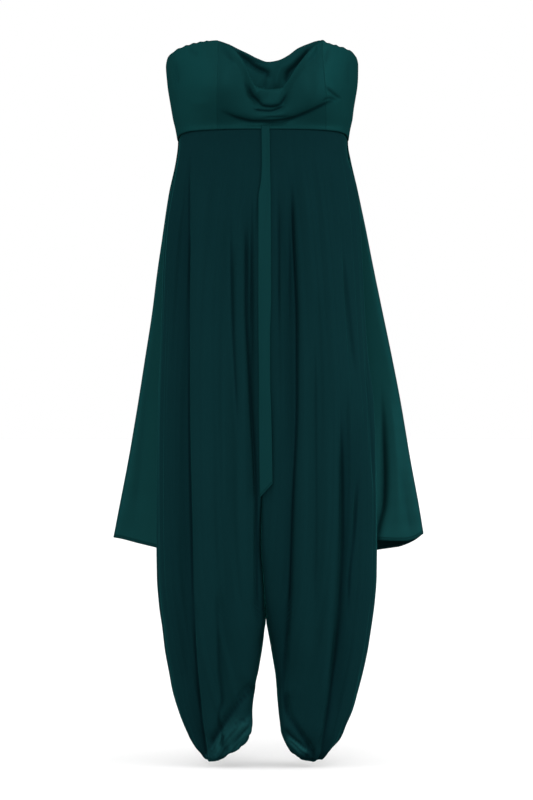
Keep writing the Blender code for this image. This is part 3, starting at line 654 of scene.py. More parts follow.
PRINCESS = table(
    ("level", "left", "right"),
    (-0.022, -0.0815, 0.0985),
    (0.030, -0.0812, 0.0980),
    (0.080, -0.0806, 0.0950),
    (0.145, -0.0800, 0.0912),
)
CUP_CENTRES = (-0.0740, 0.0830)
CUP_LEVEL = 0.064
CUP_HALF_WIDTH = 0.047
CUP_RISE_ABOVE = 0.075
CUP_FULLNESS = 0.025
CUP_SIDE_REACH = 0.060       # full from this far in front of the middle, none at the side seam
BODICE_WALL = 0.0028
print("bust from the front:",
      round(float(BODICE["right"](0.107) - BODICE["left"](0.107)), 3), "m")

# %% [markdown]
# A cup is a soft mound on the plain ring, fuller below than above, and it dies away before it
# reaches the side seam, so that front and back still meet there.

# %% Rings of the bodice
def cup_height(x, level):
    """How far the cups stand out from the plain ring of the bodice."""
    below = np.clip((CUP_LEVEL - level) / CUP_LEVEL, 0.0, 1.0)
    above = np.clip((level - CUP_LEVEL) / CUP_RISE_ABOVE, 0.0, None)
    tall = np.where(level < CUP_LEVEL, (1.0 - below ** 2) ** 1.5, np.exp(-above ** 2))
    wide = sum(np.exp(-((x - centre) / CUP_HALF_WIDTH) ** 2) for centre in CUP_CENTRES)
    return CUP_FULLNESS * tall * wide


def bodice_ring(level, face):
    """Front or back half of the bodice, from the left side seam to the right one."""
    way = -1.0 if face == "front" else 1.0
    middle = (0.0, way * float(BODICE[face](level)))
    side_y = float(BODICE["side_y"](level))
    left = quarter((float(BODICE["left"](level)), side_y), middle)
    right = quarter((float(BODICE["right"](level)), side_y), middle)
    ring = np.vstack((left, right[::-1][1:]))
    if face == "front":
        ring[:, 1] -= cup_height(ring[:, 0], level) * rise(-ring[:, 1], -side_y, CUP_SIDE_REACH)
    return ring


def between(start, end):
    """The stretch of the bodice front between two seams; None is the side seam."""
    def stretch(level):
        line = bodice_ring(level, "front")
        x = line[:, 0]
        low = -np.inf if start is None else float(start(level))
        high = np.inf if end is None else float(end(level))
        kept = line[(x > low) & (x < high)]
        if start is not None:
            kept = np.vstack(((low, np.interp(low, x, line[:, 1])), kept))
        if end is not None:
            kept = np.vstack((kept, (high, np.interp(high, x, line[:, 1]))))
        return kept
    return stretch


def bodice_surface(ring, top_edge, trim=GAP / 2):
    """Outer face of a bodice piece, from the under-bust seam (v = 0) to its top edge."""
    rings = Rings(ring, BODICE_LOWEST, BODICE_HIGHEST, trim, levels=161)
    bottoms = rings.edge_level(lambda x, y: SEAM(y) + GAP / 2, 0.0)
    tops = rings.edge_level(lambda x, y: top_edge(x), 0.10)

    def surface(u, v):
        bottom = np.interp(u, EDGE_PLACES, bottoms)
        top = np.interp(u, EDGE_PLACES, tops)
        level = bottom + (top - bottom) * v
        return np.column_stack((rings.at(u, level), level))

    surface.height = lambda u: np.interp(u, EDGE_PLACES, tops) - np.interp(u, EDGE_PLACES, bottoms)
    return surface


print("the cups stand out by up to", CUP_FULLNESS * 1000.0, "mm")

# %% [markdown]
# The neckline is pulled in a little by its stay tape, which leaves short gathers beside the
# two peaks, and the swags of the cowl pull the satin across the right princess seam.

# %% Swags, creases and gathers of the bodice
# Each swag: how far the cloth above its tuck stands out and over what height, how deep it
# sinks below and over what height, and its path.
SWAG_COLUMNS = ("stand", "height", "sink", "depth", "path")
SWAGS = (
    (0.0072, 0.0110, 0.0020, 0.0036, (
        (-0.0834, 0.0262), (-0.0700, 0.0212), (-0.0437, 0.0110), (-0.0173, 0.0062),
        (0.0060, 0.0068), (0.0388, 0.0112), (0.0635, 0.0195), (0.0850, 0.0296),
        (0.1060, 0.0400), (0.1260, 0.0480))),
    (0.0058, 0.0080, 0.0026, 0.0034, (
        (-0.0300, 0.0700), (-0.0276, 0.0620), (-0.0250, 0.0520), (-0.0152, 0.0407),
        (-0.0050, 0.0316), (0.0074, 0.0304), (0.0206, 0.0332), (0.0305, 0.0456),
        (0.0371, 0.0583))),
    (0.0026, 0.0046, 0.0014, 0.0026, (
        (-0.0240, 0.0300), (-0.0177, 0.0254), (0.0051, 0.0233), (0.0203, 0.0275),
        (0.0320, 0.0334))),
)
FRONT_CREASES = (
    (-0.0016, 0.0006, 0.0036, (
        (-0.0400, 0.0760), (-0.0300, 0.0560), (-0.0210, 0.0420), (-0.0120, 0.0340))),
    (-0.0022, 0.0008, 0.0026, (
        (0.0950, 0.0640), (0.1050, 0.0555), (0.1160, 0.0490), (0.1270, 0.0440))),
    (-0.0016, 0.0000, 0.0024, ((0.0880, 0.0385), (0.1040, 0.0440), (0.1220, 0.0425))),
    (-0.0018, 0.0006, 0.0022, (
        (-0.0120, 0.0045), (0.0060, 0.0022), (0.0220, 0.0026), (0.0360, 0.0062),
        (0.0520, 0.0120))),
    (-0.0014, 0.0000, 0.0020, (
        (-0.0100, 0.0104), (0.0060, 0.0126), (0.0220, 0.0130), (0.0400, 0.0160))),
    (-0.0012, 0.0008, 0.0060, ((-0.0760, 0.1370), (-0.0660, 0.1180), (-0.0520, 0.0960))),
    (-0.0012, -0.0008, 0.0060, ((0.0900, 0.1380), (0.0800, 0.1160), (0.0640, 0.0940))),
    (-0.0010, 0.0004, 0.0055, ((0.1060, 0.1340), (0.1000, 0.1180), (0.0960, 0.0950))),
    (-0.0010, 0.0000, 0.0060, ((-0.1320, 0.1320), (-0.1220, 0.1220), (-0.1080, 0.1160))),
    (-0.0010, 0.0000, 0.0070, ((-0.1560, 0.1180), (-0.1500, 0.0900), (-0.1480, 0.0620))),
    (-0.0008, 0.0000, 0.0070, ((0.1420, 0.1200), (0.1370, 0.0900), (0.1360, 0.0600))),
    (0.0010, 0.0000, 0.0080, ((-0.1300, 0.0420), (-0.1080, 0.0360), (-0.0860, 0.0380))),
)
# Gathers beside the peaks of the neckline: middle, half width, distance between gathers.
GATHERS = ((-0.1050, 0.0450, 0.0125), (0.0980, 0.0300, 0.0105))
# Painted shade in the tucks of the swags: its darkest line below each tuck, and its half width.
TUCK_SHADE = 0.0006          # the darkest line lies this far below each tuck
TUCK_HALF_WIDTH = 0.0022
GATHER_HEIGHT = 0.0005
GATHER_DEPTH = 0.0130        # they die away over this height below the edge
GATHERS_END = (0.150, 0.130) # from the middle: none, and all of them
print("swags:", len(SWAGS), "creases:", len(FRONT_CREASES))

# %% [markdown]
# A swag is not an even wave: the cloth hangs forward over its tuck and falls sharply back under
# it. So the two sides of its path get a curve each, and a line of painted shade lies in the tuck.

# %% Shape the swags and the gathers
SWAG_STARTS = (0.0, 0.22)    # shares of its path over which a swag sets in
SWAG_ENDS = (0.76, 1.0)      # and dies away
FRONT_FADE = 0.35            # of the creases of the bodice
# Strength of the painted shade along the creases of the bodice.
FRONT_SHADE = 1.6


def held_up(share):
    """1 where a swag is held by its tuck, 0 at the two ends of its path."""
    return rise(share, *SWAG_STARTS) * (1.0 - rise(share, *SWAG_ENDS))


def swagged(x, z):
    """How far the swags hold the cloth out."""
    total = np.zeros(len(x))
    for row in SWAGS:
        swag = dict(zip(SWAG_COLUMNS, row))
        off, share = along_path(x, z, swag["path"])
        above = np.maximum(off / swag["height"], 0.0)
        below = np.maximum(-off / swag["depth"], 0.0)
        held = swag["stand"] * above * np.exp(1.0 - above)
        held = held - swag["sink"] * below * np.exp(1.0 - below)
        total += held * held_up(share)
    return total


def bodice_painted_shade(plain_share):
    """Painted shade on the satin: a given share everywhere, more along the creases, and most in the
    tucks of the swags.
    """
    def painted_shade(u, v, points, width, length):
        x, z = points[:, 0], points[:, 2]
        total = plain_share + shaded_lines(x, z, FRONT_CREASES, FRONT_SHADE, FRONT_FADE)
        for row in SWAGS:
            swag = dict(zip(SWAG_COLUMNS, row))
            off, share = along_path(x, z, swag["path"])
            tuck = np.exp(-((off + TUCK_SHADE) / TUCK_HALF_WIDTH) ** 2)
            total += tuck * held_up(share)
        return np.minimum(total, 1.0)
    return painted_shade


def gathered(x, below_edge):
    """Short gathers along the neckline beside its peaks."""
    total = np.zeros(len(x))
    for middle, half, pitch in GATHERS:
        near = np.exp(-((x - middle) / half) ** 2) * rise(np.abs(x), *GATHERS_END)
        total += near * np.sin(2.0 * math.pi * x / pitch + 2.2 * np.sin(2.3 * x / pitch))
    return GATHER_HEIGHT * total * np.exp(-np.maximum(below_edge, 0.0) / GATHER_DEPTH)


def bodice_shape(surface, folds, edge_roll=0.0024, edge_sink=0.0016):
    """Folds of a bodice piece, with its lower seam and its upper edge rolled in."""
    def shape(u, v, plain):
        x, z = plain[:, 0], plain[:, 2]
        height = surface.height(u)
        total = folds(u, x, z) + gathered(x, (1.0 - v) * height)
        total = total * rise(v * height, 0.0, 0.007)
        return total + rolled_in(v * height) + rolled_in((1.0 - v) * height, edge_roll, edge_sink)
    return shape


print("gathers:", round(GATHER_HEIGHT * 1000.0, 1), "mm high at the neckline")

# %% [markdown]
# The two side fronts and the back are the boned parts. They stay smooth, so all they need are
# the gathers, the drag lines that start at the cowl and the shallow hollows near the arms.

# %% Make the side fronts and the back
princess_left, princess_right = PRINCESS["left"], PRINCESS["right"]
SIDE_SEAM_PLAIN = (0.001, 0.012)    # no folds this near the side seam, all of them from here on


def side_front_folds(u, x, z):
    from_side = np.minimum(x - BODICE["left"](z), BODICE["right"](z) - x)
    folds = creased(x, z, FRONT_CREASES, FRONT_FADE) + swagged(x, z)
    return folds * rise(from_side, *SIDE_SEAM_PLAIN)


for side, seams in (("left", (None, princess_left)), ("right", (princess_right, None))):
    surface = bodice_surface(between(*seams), neck_edge)
    cloth_piece("bodice_side_front_" + side, "satin", surface, 64, 84, BODICE_WALL, 1.0,
                bodice_shape(surface, side_front_folds),
                painted_shade=bodice_painted_shade(0.0))

BACK_BODICE_CREASES = (
    (-0.0010, 0.0000, 0.0060, ((-0.1250, 0.0950), (-0.1000, 0.0600), (-0.0900, 0.0200))),
    (-0.0010, 0.0000, 0.0060, ((0.1100, 0.0950), (0.0900, 0.0600), (0.0820, 0.0200))),
    (0.0008, 0.0000, 0.0080, ((-0.0450, 0.0050), (0.0000, -0.0010), (0.0450, 0.0050))),
)
back_surface = bodice_surface(lambda level: bodice_ring(level, "back"), BACK_EDGE)
cloth_piece("bodice_back", "satin", back_surface, 140, 60, BODICE_WALL, -1.0,
            bodice_shape(back_surface, lambda u, x, z: creased(x, z, BACK_BODICE_CREASES)))

# %% [markdown]
# ## The base behind the cowl
# Behind the cowl lies a flat centre front, which shows only in the dip of the neckline. There
# it is drawn down and across by the cowl in front of it, so its folds run diagonally from both
# sides to the middle.

# %% Make the centre front base
BASE_DEPTH = 0.0036          # it lies this far behind the outline of the bodice
BASE_SINK = 0.0012           # and is drawn in by this much more in its middle
BASE_SEAMS = 0.10            # share of its width at each side that the seams hold
# Painted shade over all of the base, and more along its creases.
BASE_PAINTED_SHADE = 0.45              # it is in the shade of the neckline
CREPE_WALL = 0.0011
BASE_CREASES = (
    (-0.0064, 0.0020, 0.0056, (
        (-0.0560, 0.1240), (-0.0431, 0.1160), (-0.0177, 0.0953), (0.0000, 0.0852),
        (0.0075, 0.0740))),
    (-0.0070, -0.0016, 0.0058, (
        (0.0762, 0.1330), (0.0635, 0.1143), (0.0484, 0.0978), (0.0355, 0.0839),
        (0.0330, 0.0600))),
    (0.0024, 0.0000, 0.0060, ((0.0300, 0.1060), (0.0200, 0.0860), (0.0130, 0.0560))),
    (-0.0020, 0.0000, 0.0030, ((0.0060, 0.0920), (-0.0020, 0.0770), (-0.0041, 0.0520))),
    (-0.0012, 0.0000, 0.0040, ((-0.0380, 0.1130), (-0.0140, 0.1030), (0.0060, 0.0990))),
)
centre = between(princess_left, princess_right)
base_surface = bodice_surface(centre, NECKLINE, trim=GAP)


def base_folds(u, x, z):
    return (creased(x, z, BASE_CREASES, 0.30) - BASE_SINK) * shown(u, BASE_SEAMS)


def base_painted_shade(u, v, points, width, length):
    lines = shaded_lines(points[:, 0], points[:, 2], BASE_CREASES, 1.2, 0.25)
    return np.minimum(BASE_PAINTED_SHADE + lines, 1.0)


cloth_piece("bodice_centre_front", "satin", base_surface, 96, 84, CREPE_WALL, 1.0,
            bodice_shape(base_surface, base_folds),
            depth=BASE_DEPTH,
            painted_shade=base_painted_shade)

# %% [markdown]
# ## Cowl
# A cowl is cut wider than the space that it covers, on the bias, and tucked into the seams at
# its sides, so that the spare cloth falls in U-shaped swags. Its upper edge is folded over into
# a soft roll. Each swag stands out most just above its tuck and sinks sharply below it.

# %% Make the cowl
COWL_EDGE = table(
    ("x", "height"),
    (-0.0815, 0.1402), (-0.0720, 0.1352), (-0.0640, 0.1300), (-0.0503, 0.1175), (-0.0371, 0.0987),
    (-0.0288, 0.0789), (-0.0189, 0.0628), (0.0025, 0.0585), (0.0239, 0.0600),
    (0.0364, 0.0723), (0.0503, 0.0937), (0.0651, 0.1135), (0.0849, 0.1366), (0.0920, 0.1414),
    (0.0985, 0.1396),
)["height"]
COWL_STAND = 0.0060          # the roll stands this far off the base
COWL_STAND_HEIGHT = 0.026    # and comes back to it over this height
COWL_SEAMS = 0.12            # share of its width at each side that the princess seams hold
COWL_ROLL = (0.0045, 0.0034)            # height and depth of the fold at its edge
# Painted shade over all of the cowl, added to that of its creases and tucks.
COWL_PAINTED_SHADE = 0.25
cowl_surface = bodice_surface(centre, COWL_EDGE, trim=GAP)


def cowl_folds(u, x, z):
    below_edge = np.maximum(COWL_EDGE(x) - z, 0.0)
    roll = COWL_STAND * (1.0 - rise(below_edge, 0.0, COWL_STAND_HEIGHT)) * shown(u, COWL_SEAMS)
    return roll + swagged(x, z) + creased(x, z, FRONT_CREASES, FRONT_FADE)


cloth_piece("cowl_drape", "satin", cowl_surface, 150, 120, CREPE_WALL, 1.0,
            bodice_shape(cowl_surface, cowl_folds, *COWL_ROLL),
            painted_shade=bodice_painted_shade(COWL_PAINTED_SHADE))

# %% [markdown]
# ## Trousers
# Harem trousers are cut almost straight and very wide, and all the width is gathered into the
# ankle. From the under-bust seam they fall as one tube, whose centre seams sink little by little
# between the legs. Below the dropped crotch each leg is a tube of its own.

# %% Sizes of the trousers
INNER_ROUNDNESS = 4.5        # the two legs press together, which squares their inner sides
ANKLE_LEVEL = -1.0535
INSEAM_Y = 0.0
TROUSERS = table(
    ("level", "left", "right", "centre", "parting", "front", "back", "side_y", "fullest"),
    (0.000, -0.1474, 0.1356, 0.0000, GAP, 0.1050, 0.0930, -0.006, 0.00),
    (-0.020, -0.1474, 0.1356, 0.0000, GAP, 0.1056, 0.0932, -0.006, 0.00),
    (-0.045, -0.1496, 0.1372, 0.0000, GAP, 0.1070, 0.0940, -0.008, 0.01),
    (-0.070, -0.1544, 0.1445, 0.0000, GAP, 0.1092, 0.0950, -0.010, 0.04),
    (-0.104, -0.1618, 0.1524, 0.0000, GAP, 0.1130, 0.0965, -0.013, 0.10),
    (-0.159, -0.1700, 0.1578, 0.0000, GAP, 0.1185, 0.0990, -0.017, 0.20),
    (-0.240, -0.1742, 0.1616, 0.0000, GAP, 0.1240, 0.1020, -0.020, 0.32),
    (-0.312, -0.1762, 0.1650, -0.0010, GAP, 0.1270, 0.1040, -0.020, 0.40),
    (-0.384, -0.1789, 0.1705, -0.0020, GAP, 0.1290, 0.1055, -0.020, 0.45),
    (-0.455, -0.1816, 0.1793, -0.0030, GAP, 0.1300, 0.1060, -0.020, 0.48),
    (-0.603, -0.1838, 0.1853, -0.0070, GAP, 0.1290, 0.1050, -0.020, 0.50),
    (-0.691, -0.1847, 0.1860, -0.0090, GAP, 0.1250, 0.1020, -0.018, 0.50),
    (-0.751, -0.1842, 0.1855, -0.0050, GAP, 0.1190, 0.0985, -0.016, 0.50),
    (-0.792, -0.1812, 0.1828, -0.0025, GAP, 0.1130, 0.0945, -0.014, 0.50),
    (-0.812, -0.1790, 0.1805, -0.0012, GAP, 0.1095, 0.0920, -0.012, 0.50),
    (-0.826, -0.1768, 0.1786, -0.0008, GAP, 0.1070, 0.0900, -0.011, 0.50),
    (-0.834, -0.1756, 0.1774, -0.0008, 0.0028, 0.1055, 0.0890, -0.010, 0.50),
    (-0.873, -0.1712, 0.1712, 0.0000, 0.0152, 0.0960, 0.0820, -0.006, 0.50),
    (-0.913, -0.1641, 0.1624, 0.0000, 0.0286, 0.0850, 0.0740, -0.004, 0.50),
    (-0.945, -0.1585, 0.1545, -0.0016, 0.0387, 0.0755, 0.0675, -0.002, 0.50),
    (-0.979, -0.1490, 0.1456, -0.0017, 0.0454, 0.0640, 0.0590, 0.000, 0.50),
    (-1.002, -0.1405, 0.1355, 0.0000, 0.0488, 0.0560, 0.0530, 0.000, 0.50),
    (-1.022, -0.1300, 0.1254, 0.0000, 0.0590, 0.0490, 0.0470, 0.000, 0.50),
    (-1.039, -0.1185, 0.1125, -0.0017, 0.0791, 0.0400, 0.0385, 0.000, 0.50),
    (ANKLE_LEVEL, -0.1058, 0.0975, -0.0066, 0.1158, 0.0250, 0.0240, 0.000, 0.50),
)
# How far the centre seams sink in from the front or the back towards the inside leg.
VALLEY = table(
    ("level", "share"),
    (0.000, 0.00), (-0.100, 0.00), (-0.300, 0.05), (-0.455, 0.09), (-0.600, 0.16),
    (-0.700, 0.24), (-0.780, 0.38), (-0.826, 0.80), (-0.850, 1.00), (ANKLE_LEVEL, 1.00),
)["share"]
# Share of the rows against share of the length: close together at the hips and the ankle.
LEG_ROWS = table(
    ("rows", "length"),
    (0.00, 0.000), (0.20, 0.100), (0.55, 0.480), (0.80, 0.840), (0.92, 0.962), (1.00, 1.000),
)["length"]
ANKLE_TILT_TOP = -1.000
ANKLE_INNER_LIFT = {"left": 0.0045, "right": 0.0010}
ANKLE_BACK_LIFT = {"left": 0.0035, "right": 0.0045}
# The gathered hem hangs lower in the middle: share across from its outer side, and drop.
ANKLE_DROP = table(
    ("across", "drop"),
    (0.00, 0.0000), (0.12, 0.0030), (0.36, 0.0044), (0.80, 0.0026), (1.00, 0.0000),
)["drop"]
ANKLE_DROP_TOP = -1.030
print("the ankle hems lie", -ANKLE_LEVEL, "m below the origin")

# %% [markdown]
# A leg ring is made of two quarters for the front and two for the back. On the inner side the
# legs press together, so that quarter is squarer, and its end sinks in by the share that the
# second table gives. The hem is tilted and hangs lower in its middle, as a gathered one does.

# %% Rings of the trousers
def leg_edges(side, level):
    """Inner and outer x of a leg at one level or at many."""
    sign = -1.0 if side == "left" else 1.0
    inner = TROUSERS["centre"](level) + sign * TROUSERS["parting"](level) / 2.0
    return inner, TROUSERS[side](level)


def leg_ring(side, face, sunk=True):
    """Half a leg between its inner and its side seam, over the front or the back."""
    way = -1.0 if face == "front" else 1.0

    def ring(level):
        inner, outer = leg_edges(side, level)
        deep = way * float(TROUSERS[face](level))
        seam_y = deep + (INSEAM_Y - deep) * (float(VALLEY(level)) if sunk else 0.0)
        middle = (inner + (outer - inner) * float(TROUSERS["fullest"](level)), deep)
        inside = quarter((inner, seam_y), middle, INNER_ROUNDNESS)
        outside = quarter((outer, float(TROUSERS["side_y"](level))), middle)
        if face == "front":
            return np.vstack((inside, outside[::-1][1:]))
        return np.vstack((outside, inside[::-1][1:]))

    return ring


def leg_surface(side, face):
    """Outer face of one leg panel over its width u and its height v, both from 0 to 1."""
    rings = Rings(leg_ring(side, face), ANKLE_LEVEL, 0.0)
    turn = 1.0 if side == "left" else -1.0
    tops = rings.edge_level(lambda x, y: SEAM(y) - GAP / 2, 0.0)

    def surface(u, v):
        top = np.interp(u, EDGE_PLACES, tops)
        level = top + (ANKLE_LEVEL - top) * LEG_ROWS(v)
        xy = rings.at(u, level)
        inner, outer = leg_edges(side, level)
        half = np.abs(outer - inner) / 2.0
        lift = ANKLE_INNER_LIFT[side] * turn * (xy[:, 0] - (inner + outer) / 2.0) / half
        lift = lift + ANKLE_BACK_LIFT[side] * xy[:, 1] / half
        drop = ANKLE_DROP((outer - xy[:, 0]) / (outer - inner))
        drop = drop * rise(level, ANKLE_DROP_TOP, ANKLE_LEVEL)
        tilted = level + rise(level, ANKLE_TILT_TOP, ANKLE_LEVEL) * lift - drop
        return np.column_stack((xy, tilted))

    return surface


print("left ankle from the front:",
      round(float(np.subtract(*leg_edges("left", ANKLE_LEVEL))) * 1000.0, 1), "mm")

# %% [markdown]
# ## Folds of the trousers
# The crepe hangs in long, shallow folds from the seam to the ankle. A few are broad rolls, which
# are nearly straight, so each needs only its place at the top and at the foot.

# %% Broad folds
FOLD_COLUMNS = ("x_top", "x_foot", "top", "foot", "half_width", "height")
FOLD_FADE = 0.070
BROAD_FOLDS = {
    ("left", "front"): (
        (-0.145, -0.136, -0.060, -0.980, 0.013, -0.0060),
        (-0.116, -0.108, -0.060, -0.960, 0.015, 0.0050),
        (-0.088, -0.084, -0.180, -0.760, 0.010, -0.0022),
        (-0.072, -0.058, -0.140, -0.640, 0.012, -0.0034),
        (-0.050, -0.042, -0.300, -0.900, 0.012, 0.0026),
        (-0.060, -0.084, -0.560, -1.010, 0.012, -0.0036),
        (-0.032, -0.020, -0.110, -0.860, 0.010, -0.0050),
    ),
    ("right", "front"): (
        (0.022, 0.018, -0.100, -0.480, 0.009, -0.0026),
        (0.040, 0.034, -0.060, -0.960, 0.011, -0.0048),
        (0.062, 0.058, -0.080, -0.930, 0.014, 0.0040),
        (0.084, 0.086, -0.260, -0.900, 0.011, -0.0036),
        (0.106, 0.096, -0.300, -0.980, 0.012, 0.0026),
        (0.134, 0.112, -0.420, -1.000, 0.012, -0.0056),
        (0.128, 0.150, -0.140, -0.480, 0.011, -0.0036),
        (0.158, 0.148, -0.480, -0.860, 0.011, -0.0032),
    ),
    ("left", "back"): (
        (-0.120, -0.125, -0.200, -0.960, 0.015, -0.0050),
        (-0.095, -0.100, -0.260, -0.960, 0.014, 0.0036),
        (-0.070, -0.075, -0.420, -0.990, 0.014, -0.0048),
        (-0.030, -0.035, -0.200, -0.840, 0.012, 0.0030),
    ),
    ("right", "back"): (
        (0.036, 0.040, -0.250, -0.900, 0.013, -0.0044),
        (0.060, 0.064, -0.300, -0.900, 0.013, 0.0032),
        (0.082, 0.085, -0.420, -0.990, 0.012, -0.0036),
        (0.128, 0.120, -0.200, -0.960, 0.014, -0.0050),
    ),
}


def broad_folds(folds, x, level):
    """How far the broad folds move each point of a leg in or out."""
    total = np.zeros(len(x))
    for row in folds:
        fold = dict(zip(FOLD_COLUMNS, row))
        share = (level - fold["top"]) / (fold["foot"] - fold["top"])
        middle = fold["x_top"] + (fold["x_foot"] - fold["x_top"]) * np.clip(share, 0.0, 1.0)
        shows = rise(level, fold["top"], fold["top"] - FOLD_FADE)
        shows = shows * (1.0 - rise(level, fold["foot"] + FOLD_FADE, fold["foot"]))
        total += fold["height"] * shows * np.exp(-((x - middle) / fold["half_width"]) ** 2)
    return total


print("broad folds:", sum(len(folds) for folds in BROAD_FOLDS.values()))

# %% [markdown]
# Along some of the rolls runs a narrow valley where the cloth turns under. The ones near the
# ankle bend towards the gathered hem, and pouches of cloth hang over it.

# %% Narrow creases and pouches
LEG_CREASES = {
    ("left", "front"): (
        (-0.0066, 0.0030, 0.0034, (
            (-0.1285, -0.0300), (-0.1277, -0.2078), (-0.1277, -0.4550), (-0.1228, -0.6725),
            (-0.1206, -0.7846), (-0.1112, -0.9543), (-0.1030, -1.0317), (-0.0990, -1.0650),
            (-0.0960, -1.1100))),
        (-0.0044, -0.0014, 0.0034, (
            (-0.0601, -0.1254), (-0.0552, -0.3232), (-0.0493, -0.4550), (-0.0456, -0.5374)), 0.30),
        (-0.0056, -0.0020, 0.0034, (
            (-0.0338, -0.1502), (-0.0338, -0.2902), (-0.0277, -0.4220), (-0.0163, -0.6363),
            (-0.0157, -0.8505))),
        (-0.0044, 0.0000, 0.0026, ((-0.0239, -0.0900), (-0.0239, -0.4200)), 0.40),
        (-0.0034, -0.0010, 0.0028, (
            (-0.0821, -0.7703), (-0.0788, -0.9047), (-0.0755, -0.9396), (-0.0739, -0.9579),
            (-0.0788, -0.9728), (-0.0805, -0.9894), (-0.0739, -1.0159), (-0.0720, -1.0450))),
        (-0.0085, 0.0040, 0.0054, (
            (-0.0180, -0.9280), (-0.0242, -0.9353), (-0.0502, -0.9652), (-0.0727, -0.9988),
            (-0.0875, -1.0212), (-0.0950, -1.0362))),
        (-0.0048, 0.0022, 0.0030, (
            (-0.0279, -0.9840), (-0.0465, -0.9907), (-0.0617, -1.0026), (-0.0727, -1.0212),
            (-0.0764, -1.0397))),
        (-0.0044, 0.0018, 0.0028, (
            (-0.0279, -1.0026), (-0.0390, -1.0100), (-0.0502, -1.0212), (-0.0617, -1.0325),
            (-0.0690, -1.0474))),
        (-0.0034, 0.0014, 0.0026, ((-0.0279, -1.0174), (-0.0372, -1.0245), (-0.0448, -1.0397))),
    ),
    ("right", "front"): (
        (-0.0036, 0.0000, 0.0026, (
            (0.0189, -0.0900), (0.0206, -0.2078), (0.0206, -0.3700)), 0.40),
        (-0.0066, -0.0030, 0.0034, (
            (0.0424, -0.0800), (0.0437, -0.1487), (0.0503, -0.3397), (0.0503, -0.4550),
            (0.0437, -0.6363), (0.0387, -0.7846), (0.0288, -0.9328), (0.0319, -0.9688))),
        (-0.0024, 0.0000, 0.0026, (
            (0.0371, -0.1054), (0.0387, -0.2243), (0.0371, -0.3632)), 0.40),
        (-0.0018, 0.0008, 0.0036, (
            (0.0799, -0.3232), (0.0816, -0.6363), (0.0799, -0.8505)), 0.25),
        (-0.0048, 0.0026, 0.0036, (
            (0.1220, -0.4400), (0.1262, -0.6725), (0.1184, -0.8241), (0.1040, -0.9560),
            (0.0965, -1.0080), (0.0920, -1.0400), (0.0880, -1.1000)), 0.22),
        (-0.0040, 0.0016, 0.0036, (
            (0.1557, -0.5539), (0.1458, -0.6692), (0.1368, -0.7648), (0.1359, -0.8340)), 0.30),
        (-0.0030, 0.0014, 0.0038, (
            (0.1277, -0.1914), (0.1376, -0.3067), (0.1524, -0.4385)), 0.35),
        (-0.0026, 0.0012, 0.0038, (
            (0.1635, -0.3554), (0.1734, -0.4882), (0.1834, -0.6210)), 0.30),
        (-0.0080, -0.0036, 0.0048, (
            (0.0300, -0.9400), (0.0319, -0.9688), (0.0505, -1.0026), (0.0693, -1.0325),
            (0.0823, -1.0550))),
        (-0.0050, -0.0018, 0.0028, (
            (0.0330, -1.0040), (0.0357, -1.0100), (0.0543, -1.0287), (0.0730, -1.0436))),
        (-0.0036, 0.0000, 0.0024, ((0.0394, -1.0249), (0.0582, -1.0436), (0.0730, -1.0560))),
    ),
    ("left", "back"): (
        (-0.0056, 0.0028, 0.0038, (
            (-0.1240, -0.0700), (-0.1230, -0.4000), (-0.1190, -0.7800), (-0.1050, -1.0200))),
        (-0.0046, -0.0020, 0.0038, (
            (-0.0560, -0.1500), (-0.0600, -0.4500), (-0.0640, -0.7600), (-0.0760, -1.0100))),
        (-0.0024, 0.0000, 0.0038, ((-0.0300, -0.1000), (-0.0280, -0.3600), (-0.0220, -0.6400))),
        (-0.0040, 0.0020, 0.0042, ((-0.0240, -0.9300), (-0.0480, -0.9700), (-0.0800, -1.0150))),
    ),
    ("right", "back"): (
        (-0.0056, -0.0026, 0.0038, (
            (0.0400, -0.0700), (0.0460, -0.4000), (0.0480, -0.7600), (0.0560, -1.0100))),
        (-0.0028, 0.0014, 0.0040, ((0.0900, -0.2400), (0.0930, -0.5600), (0.0900, -0.9400))),
        (-0.0050, 0.0026, 0.0038, (
            (0.1330, -0.2000), (0.1360, -0.5600), (0.1260, -0.8600), (0.1000, -1.0150))),
        (-0.0040, -0.0018, 0.0040, ((0.0300, -0.9400), (0.0500, -0.9800), (0.0740, -1.0200))),
    ),
}
# Pouches over the ankle hems: middle x and z, radius, and how far they stand out.
POUCHES = {
    ("left", "front"): ((-0.0470, -0.9980, 0.0230, 0.0060), (-0.0980, -1.0080, 0.0180, 0.0030)),
    ("right", "front"): ((0.0450, -1.0040, 0.0200, 0.0050), (0.0960, -1.0080, 0.0200, 0.0034)),
    ("left", "back"): ((-0.0560, -0.9900, 0.0250, 0.0040),),
    ("right", "back"): ((0.0860, -0.9900, 0.0250, 0.0040),),
}
print("creases:", sum(len(creases) for creases in LEG_CREASES.values()))

# %% [markdown]
# Between the folds the crepe is never quite flat: it keeps faint upright ripples from hanging.
# Three waves that don't share a length give them, so that no two ripples look the same.

# %% Ripples of hanging cloth
RIPPLE_COLUMNS = ("length", "height", "wander", "turn")
RIPPLES = (
    (0.0310, 0.00080, 3.1, 0.4),
    (0.0173, 0.00046, 5.3, 2.1),
    (0.0112, 0.00020, 8.9, 4.0),
)


def rippled(along, z, phase):
    """Faint upright ripples over the width of a hanging piece."""
    total = np.zeros(len(along))
    for row in RIPPLES:
        ripple = dict(zip(RIPPLE_COLUMNS, row))
        turn = ripple["turn"] + phase + 1.4 * np.sin(ripple["wander"] * z + phase)
        total += ripple["height"] * np.sin(2.0 * math.pi * along / ripple["length"] + turn)
    return total


print("ripples: up to", round(sum(row[1] for row in RIPPLES) * 1000.0, 2), "mm high")

# %% [markdown]
# Two kinds of gathers close the trousers off. Under the bust there are only faint ones, because
# the panel is eased into the seam. At the ankle all the width is drawn up, so the gathers are
# deep for their size, and uneven, as fingers leave them.

